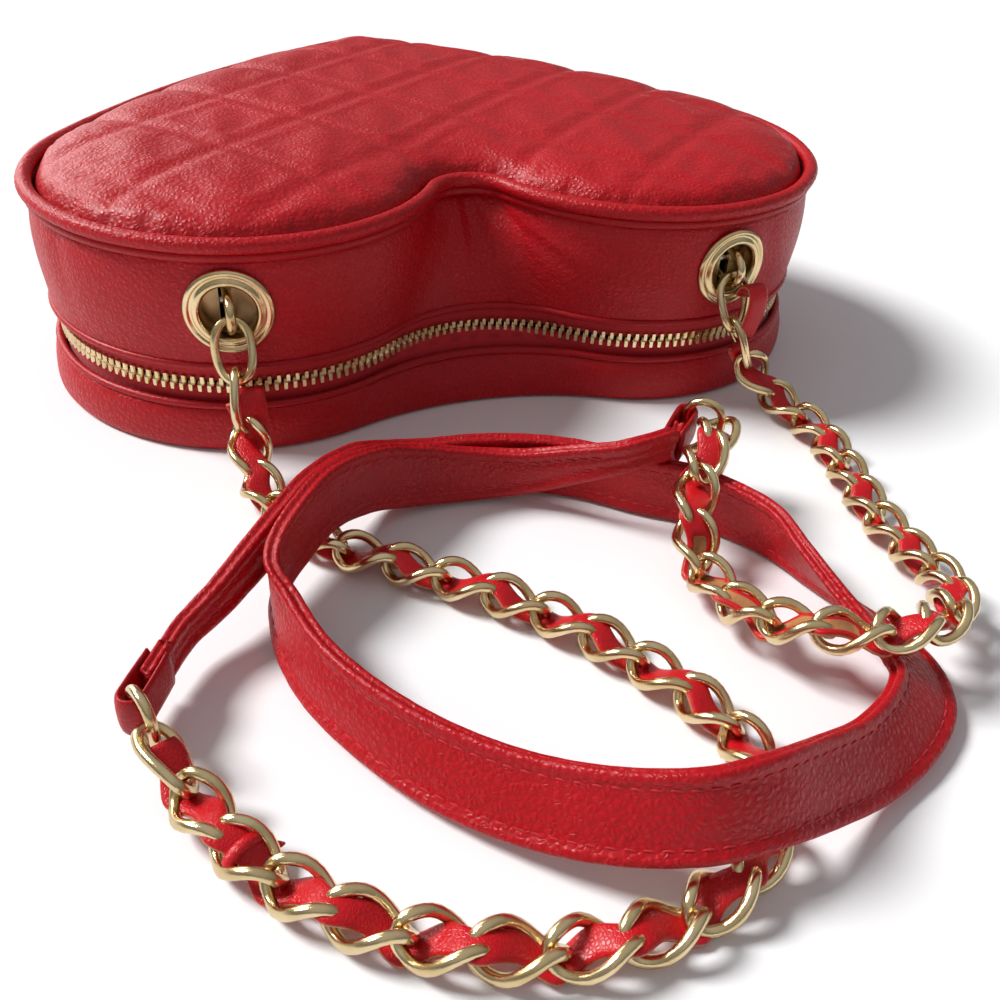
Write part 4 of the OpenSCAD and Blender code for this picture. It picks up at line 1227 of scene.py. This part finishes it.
strip("left_lace_tail", [(-66.6, -96.4, 19.5), (-66.2, -98.0, 22.4), (-65.8, -100.8, 23.2),
                         (-65.4, -102.6, 20.4),
                         (-65.3, -103.2, 16.5), (-65.2, -103.6, 12.5), (-65.0, -104.2, 8.6)],
      np.array([1.0, 0, 0]), "strap", wide=1.15, thick=0.8)
strip("right_lace_tail", [(70.5, -95.2, 33.5), (71.2, -95.6, 36.0), (72.0, -97.8, 37.2),
                          (72.3, -99.8, 35.4),
                          (71.9, -100.6, 31.5), (71.0, -100.8, 27.5), (70.0, -100.6, 24.0)],
      np.array([1.0, 0.15, 0]), "hook_links", wide=1.05, thick=0.85)


def knot(name, path, across, u):
    """A ring of lace drawn tight round the lace, with two short ends."""
    base, t = between(path, u), unit(path[math.floor(u) + 1] - path[math.floor(u)])
    side = between(across, u - 0.5)
    s = unit(side - (side @ t) * t)
    rise = np.cross(t, s)
    middle = base + rise * (LACE_SWING * math.cos(math.pi * u) - LACE_SAG)
    points, faces = [], []
    turns = np.arange(28) * 2 * math.pi / 28
    for a in turns:
        out = unit(s * math.cos(a) * 1.6 + rise * math.sin(a))
        at = middle + s * math.cos(a) * 3.3 + rise * math.sin(a) * 1.7
        for b in np.arange(8) * math.pi / 4:
            points.append(at + out * 0.75 * math.cos(b) + t * 1.25 * math.sin(b))
    faces += [tuple(f) for f in grid_faces(28, 8, True, True)]
    for way_out in (-s * 0.9 - rise * 0.5 + t * 0.7, -s - rise * 0.3 - t * 0.5):
        first = len(points)
        way_out = unit(way_out)
        other = unit(np.cross(way_out, rise))
        third = np.cross(way_out, other)
        for far, fat in ((2.4, 1.0), (4.5, 1.1), (6.6, 0.7), (7.4, 0.25)):
            for b in np.arange(8) * math.pi / 4:
                points.append(middle + way_out * far + other * fat * math.cos(b)
                              + third * fat * 0.6 * math.sin(b))
        faces += [tuple(v + first for v in f) for f in tube_faces(4, 8)]
    return piece(name, points, faces, lace_hide, "strap", (), [(0, 0.25)] * len(points))


knot("left_lace_tie", left_joints, left_sides, 23.6)

# %% [markdown]
# The shoulder pad is one long ribbon: two plies with a cord along both edges, so that each
# edge is a double ridge, and a shallow valley beside it where the stitches run. Near its
# ends it narrows to fit through the end links. Between the stitches the cord is pinched.

# %% The shoulder pad
PAD_LAY_SHARES = [
    (-1.36, 0.53, 0.25, 0), (-1.28, 0.475, 0.3, 0), (-1.17, 0.435, 0.4, 0), (-1.06, 0.385, 0.5, 0),
    (-0.96, 0.335, 0.53, 0), (-0.86, 0.285, 0.53, 0), (-0.73, 0.235, 0.4, 0),
    (-0.57, 0.195, 0.15, 0), (-0.4, 0.178, 0.01, 0), (-0.2, 0.182, 0, 0), (0, 0.205, 0, 0),
    (0.17, 0.243, 0, 0), (0.33, 0.3, 0, 0), (0.48, 0.345, 0, 0), (0.6, 0.4, 0, 5),
    (0.7, 0.47, 0, 12), (0.76, 0.55, 0, 28), (0.83, 0.63, 0, 46), (0.89, 0.7, 0, 58),
    (0.9, 0.775, 0, 62), (0.83, 0.845, 0, 58), (0.67, 0.9, 0, 50), (0.46, 0.94, 0.03, 42),
    (0.24, 0.97, 0.28, 38), (0.04, 0.99, 0.53, 32), (-0.16, 0.99, 0.56, 30),
    (-0.37, 0.95, 0.38, 32), (-0.56, 0.88, 0.15, 30), (-0.74, 0.79, 0.03, 25), (-0.88, 0.69, 0, 18),
    (-0.98, 0.59, 0, 15), (-1.02, 0.49, 0.03, 12), (-1, 0.41, 0.25, 5), (-0.9, 0.36, 0.5, 0),
    (-0.78, 0.3, 0.53, -3), (-0.64, 0.257, 0.4, -5), (-0.5, 0.222, 0.15, -5),
    (-0.33, 0.21, 0.04, -5), (-0.15, 0.22, 0.08, -5), (0.01, 0.25, 0.3, 0), (0.14, 0.295, 0.68, 0),
    (0.27, 0.325, 0.98, 0), (0.4, 0.32, 1.05, 0)]
FOLD_W, FOLD_LEG = 8.2, 11.0


def end_rail(path, turn, drop):
    """The middle of an end link's long side that lies in the pad's fold."""
    t = unit(path[-1] - path[-2])
    near = path[-1] - APEX_PAST * t - [0, 0, drop]
    a = math.atan2(t[1], t[0]) + math.radians(turn)
    return near + 2 * BOW_R * np.array([math.cos(a), math.sin(a), 0])


def flat_way(start, end):
    """The level direction from one point to another."""
    return unit((end - start) * [1, 1, 0])


left_rail, right_rail = end_rail(left_joints, 0, 0), end_rail(right_joints, 95, 2)
pad_marks = []
for row in PAD_LAY_SHARES:
    rest = 0.3 + 1.8 * abs(math.sin(math.radians(row[3])))
    pad_marks.append([*lay(row[:3], rest), row[3]])
left_tongue = flat_way(left_rail, np.array(pad_marks[0][:3]))
right_tongue = flat_way(right_rail, np.array(pad_marks[-1][:3]))


def tongue_mark(rail, way, far):
    """A mark of the ribbon's route inside the fold at one end."""
    return [*(rail + way * far - [0, 0, FOLD_W / 2]), 0]


pad_route = walk(smooth_route(
    [tongue_mark(left_rail, left_tongue, far) for far in (6.1, 14)] + pad_marks
    + [tongue_mark(right_rail, right_tongue, far) for far in (14, 6.1)]), 1.3)
pad_run = lengths(pad_route[:, :3])
print(f"shoulder pad {pad_run[-1]:.0f} mm long")


def pad_axes(route, reach=6):
    """Along, up and through directions at each point of the ribbon."""
    last = len(route) - 1
    out = []
    for i in range(last + 1):
        t = unit(route[min(i + reach, last), :3] - route[max(i - reach, 0), :3])
        right = unit(np.cross(t, [0, 0, 1]))
        lean = math.radians(route[i, 3])
        up_way = np.array([0, 0, math.cos(lean)]) + right * math.sin(lean)
        up_way = unit(up_way - (up_way @ t) * t)
        out.append((t, up_way, np.cross(t, up_way)))
    return out


PAD_HALF = [(1.72, 0.55), (1.82, 1.2), (1.66, 1.95), (1.28, 2.6), (1.2, 3.3), (1.36, 5.2),
            (1.44, 8.0), (1.36, 10.8), (1.2, 12.7), (1.28, 13.4), (1.66, 14.05), (1.82, 14.8),
            (1.72, 15.45),
            (1.35, 15.9), (0.9, 16.0), (0.4, 15.75)]
PAD_SECTION = ([(1.35, 0.1)] + PAD_HALF + [(0.0, 15.3)] + [(-n, h) for n, h in PAD_HALF[::-1]]
               + [(-1.35, 0.1), (-0.9, 0.0), (-0.4, 0.2), (0.0, 0.55), (0.4, 0.2), (0.9, 0.0)])


def pad_height(near):
    """The ribbon's height at a distance from its nearer end."""
    return PAD_W * np.interp(near, (22, 75), (FOLD_W / PAD_W, 1))


def pad_rows(route, run):
    """The ribbon's points, ring by ring, and its UV map."""
    axes = pad_axes(route)
    rows, uv = [], []
    for i, (t, up_way, n) in enumerate(axes):
        near = min(run[i], run[-1] - run[i])
        tall = pad_height(near)
        pinch = 0.10 * math.sin(run[i] * 2 * math.pi / 3.2)
        bulge = 1 + 0.10 * noise.noise(Vector((run[i] / 13, 8.0, 0)))
        thin = np.interp(near, (0, 12, 40), (0.8, 0.86, 1))
        around = 0.0
        for x, h in PAD_SECTION:
            edge = min(h, 16 - h)
            height = edge if h < 3.3 else (
                tall - edge if h > 12.7 else 3.3 + (h - 3.3) / 9.4 * (tall - 6.6))
            height = min(max(height, 0), tall)
            x += math.copysign(pinch * math.exp(-edge / 1.2), x) if abs(x) > 1 else 0
            face = math.exp(-((h - 8) / 3.5) ** 2) * math.copysign(0.25 * (bulge - 1) * 10 * 0.1, x)
            rows.append(route[i, :3] + up_way * height + n * (x + face) * thin)
            uv.append((run[i] * MM, around * MM))
            around += 1.0
    return rows, uv


rows, uv = pad_rows(pad_route, pad_run)
piece("shoulder_pad_leather", rows, tube_faces(len(pad_route), len(PAD_SECTION)),
      red_leather, "strap", ("shoulder_pad",), uv)

# %% [markdown]
# At each end the ribbon narrows to a single ply, which goes round the end link's wire and
# is sewn back onto itself. The fold is a flat strip bent in a U round the wire.

# %% Folds round the end links
def fold_strip(rail, way_out):
    """The ring by ring points of one fold, with its two legs on either side of the ribbon."""
    radius, thick, wide = 2.25, 1.6, 9.0
    legs = [(far, radius - 0.25 * (far / FOLD_LEG) ** 2) for far in np.linspace(FOLD_LEG, 0.8, 9)]
    bend = [(radius * math.cos(a), radius * math.sin(a))
            for a in np.radians(np.linspace(90, 270, 19))]
    line = np.array(legs + bend + [(x, -y) for x, y in legs[::-1]])
    side_way = np.array([-way_out[1], way_out[0], 0])
    section = soften([(0.5, 0), (0.5, wide), (-0.5, wide), (-0.5, 0)], 2)
    rows = []
    for k, (x, y) in enumerate(line):
        d = unit(line[min(k + 1, len(line) - 1)] - line[max(k - 1, 0)])
        through = way_out * d[1] - side_way * d[0]
        for a, h in section:
            level = np.array([0, 0, h - wide / 2])
            rows.append(rail + way_out * x + side_way * y + through * a * thick + level)
    return rows, len(line), len(section)


fold_points, fold_faces = [], []
for rail, tongue_way in ((left_rail, left_tongue), (right_rail, right_tongue)):
    rows, count, columns = fold_strip(rail, tongue_way)
    first = len(fold_points)
    fold_points += rows
    fold_faces += [tuple(v + first for v in f) for f in tube_faces(count, columns)]
piece("pad_fold_leather", fold_points, fold_faces, turned_leather, "strap", ("pad_folds",))

# %% [markdown]
# Stitches hold the leather together where two plies meet. A stitch is a short thread that
# rises from one needle hole and sinks into the next. The same tree that set the zip's
# teeth sets stitches along paths laid in the four valleys of the pad.

# %% Stitches
STITCH_L, STITCH_T, STITCH_PITCH, FIRST_STITCH = 2.3, 0.42, 3.2, 0.8
VALLEY_OFF, VALLEY_H = 1.22, 2.95


def stitch_shape():
    """One stitch: a short bent thread, thinner at its ends."""
    rings = []
    for t in (-1, -0.75, -0.3, 0.3, 0.75, 1):
        lift = 0.35 * STITCH_T * (1 - t * t) - 0.25 * STITCH_T
        fat = STITCH_T / 2 * (0.35 if abs(t) == 1 else 0.85 if abs(t) > 0.5 else 1.0)
        turns = [k * math.pi / 3 for k in range(6)]
        rings.append([(t * STITCH_L / 2, math.cos(a) * fat, math.sin(a) * fat + lift)
                      for a in turns])
    stitch = rod("stitch", rings)
    stitch.data.polygons.foreach_set("use_smooth", [True] * len(stitch.data.polygons))
    return stitch


axes = pad_axes(pad_route)
UNSTITCHED = 26
inner_run = (pad_run > UNSTITCHED) & (pad_run < pad_run[-1] - UNSTITCHED)
for label, side, at_top in (("outer_top", 1, True), ("inner_top", -1, True),
                            ("outer_low", 1, False), ("inner_low", -1, False)):
    path = []
    for i in np.where(inner_run)[0]:
        tall = pad_height(min(pad_run[i], pad_run[-1] - pad_run[i]))
        t, up_way, n = axes[i]
        height = tall - VALLEY_H if at_top else VALLEY_H
        path.append(pad_route[i, :3] + up_way * height + n * side * VALLEY_OFF)
    stitches = grow(f"pad_stitches_{label}", path_mesh(path), STITCH_PITCH, FIRST_STITCH,
                    stitch_shape(), red_thread)
    settle(stitches, "strap")

# %% [markdown]
# The studio is a white floor under a plain white sky. A soft sun stands above the left
# lobe, behind the bag, and a faint lamp in front. The sky that the metal and the leather
# mirror is darker low down, so that the wire's roundness shows, and has one bright window.

# %% Floor, lamps and sky
floor = bpy.data.objects.new("floor", bpy.data.meshes.new("floor"))
FLOOR_HALF, FLOOR_Z = 4, -0.0003
corners = [(x * FLOOR_HALF, y * FLOOR_HALF, FLOOR_Z)
           for x, y in ((-1, -1), (1, -1), (1, 1), (-1, 1))]
floor.data.from_pydata(corners, [], [(0, 1, 2, 3)])
scene.collection.objects.link(floor)
white, shader, add, wire = graph("white_paper")
place = add("ShaderNodeTexCoord")
fibre = add("ShaderNodeTexNoise", {"Vector": (place, "Object"), "Scale": 9.0, "Detail": 2.0})
tint = ramp(add, (fibre, "Fac"), (0.3, (0.93, 0.93, 0.935)), (0.7, (0.95, 0.95, 0.95)))
wire(shader, {"Base Color": (tint, "Color"), "Roughness": 0.9, "Specular IOR Level": 0.1})
floor.data.materials.append(white)


def lamp(name, way, far, kind, power, **settings):
    """A soft lamp that looks at the purse from a direction."""
    light = bpy.data.lights.new(name, kind)
    light.energy = power
    for label, value in settings.items():
        setattr(light, label, value)
    made = bpy.data.objects.new(name, light)
    aim = Vector((0, -0.05, 0.02))
    made.location = aim + Vector(way).normalized() * far
    made.rotation_euler = (made.location - aim).to_track_quat("Z", "Y").to_euler()
    scene.collection.objects.link(made)
    return made


key = lamp("key", (-0.62, 0.36, 0.70), 1.2, "SUN", 3.8, angle=math.radians(18))
front = lamp("front", (-0.25, -0.8, 0.45), 1.4, "AREA", 0.25, size=0.9)

sky = bpy.data.worlds.new("studio")
scene.world = sky
sky.use_nodes = True
sky_node, join_sky = node_adder(sky.node_tree)
background = sky.node_tree.nodes["Background"]
background.inputs["Strength"].default_value = 1.0
paths = sky_node("ShaderNodeLightPath")
towards = sky_node("ShaderNodeTexCoord")
parts = sky_node("ShaderNodeSeparateXYZ", {"Vector": (towards, "Generated")})
mirrored_sky = sky_node("ShaderNodeValToRGB", {"Fac": (parts, "Z")})
for place_at, shade in ((0.0, 0.10), (0.15, 0.20), (0.5, 0.32), (0.8, 0.45)):
    bar = mirrored_sky.color_ramp.elements.new(place_at)
    bar.color = (shade, shade, shade, 1)
bars = mirrored_sky.color_ramp.elements
bars[len(bars) - 1].color = (0.5, 0.5, 0.5, 1)
WINDOW_WAY = tuple(Vector((-0.36, 0.88, 0.30)).normalized())
window = sky_node("ShaderNodeVectorMath", {0: (towards, "Generated"), 1: WINDOW_WAY},
                  operation="DOT_PRODUCT")
pane = sky_node("ShaderNodeMapRange", {"Value": (window, "Value"), "From Min": 0.93,
                                       "From Max": 0.99, "To Min": 0.0, "To Max": 4.2},
                interpolation_type="SMOOTHSTEP")
lit_sky = sky_node("ShaderNodeMix", {0: 1.0, 6: (mirrored_sky, "Color"), 7: (pane, "Result")},
                   data_type="RGBA", blend_type="ADD")
plain = sky_node("ShaderNodeMix", {0: (paths, "Is Glossy Ray"), 6: (0.27, 0.27, 0.28, 1),
                                   7: (lit_sky, 2)}, data_type="RGBA")
seen_sky = sky_node("ShaderNodeMix", {0: (paths, "Is Camera Ray"), 6: (plain, 2),
                                      7: (1.0, 1.0, 1.0, 1)}, data_type="RGBA")
join_sky(background, {"Color": (seen_sky, 2)})
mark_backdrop(floor, key, front)

# %% [markdown]
# Last, the finished box is printed beside the imported one, so that one can see how
# far the leather and the padding reach past the plain solids.

# %% Print the sizes and finish
made_box = [list(corner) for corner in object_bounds()]
({"cad_box": [[float(v) for v in corner] for corner in cad_box],
           "visual_box": [[float(v) for v in corner] for corner in made_box]})
print("packed box:", [[round(v, 4) for v in corner] for corner in cad_box])
print("finished box:", [[round(v, 4) for v in corner] for corner in made_box])
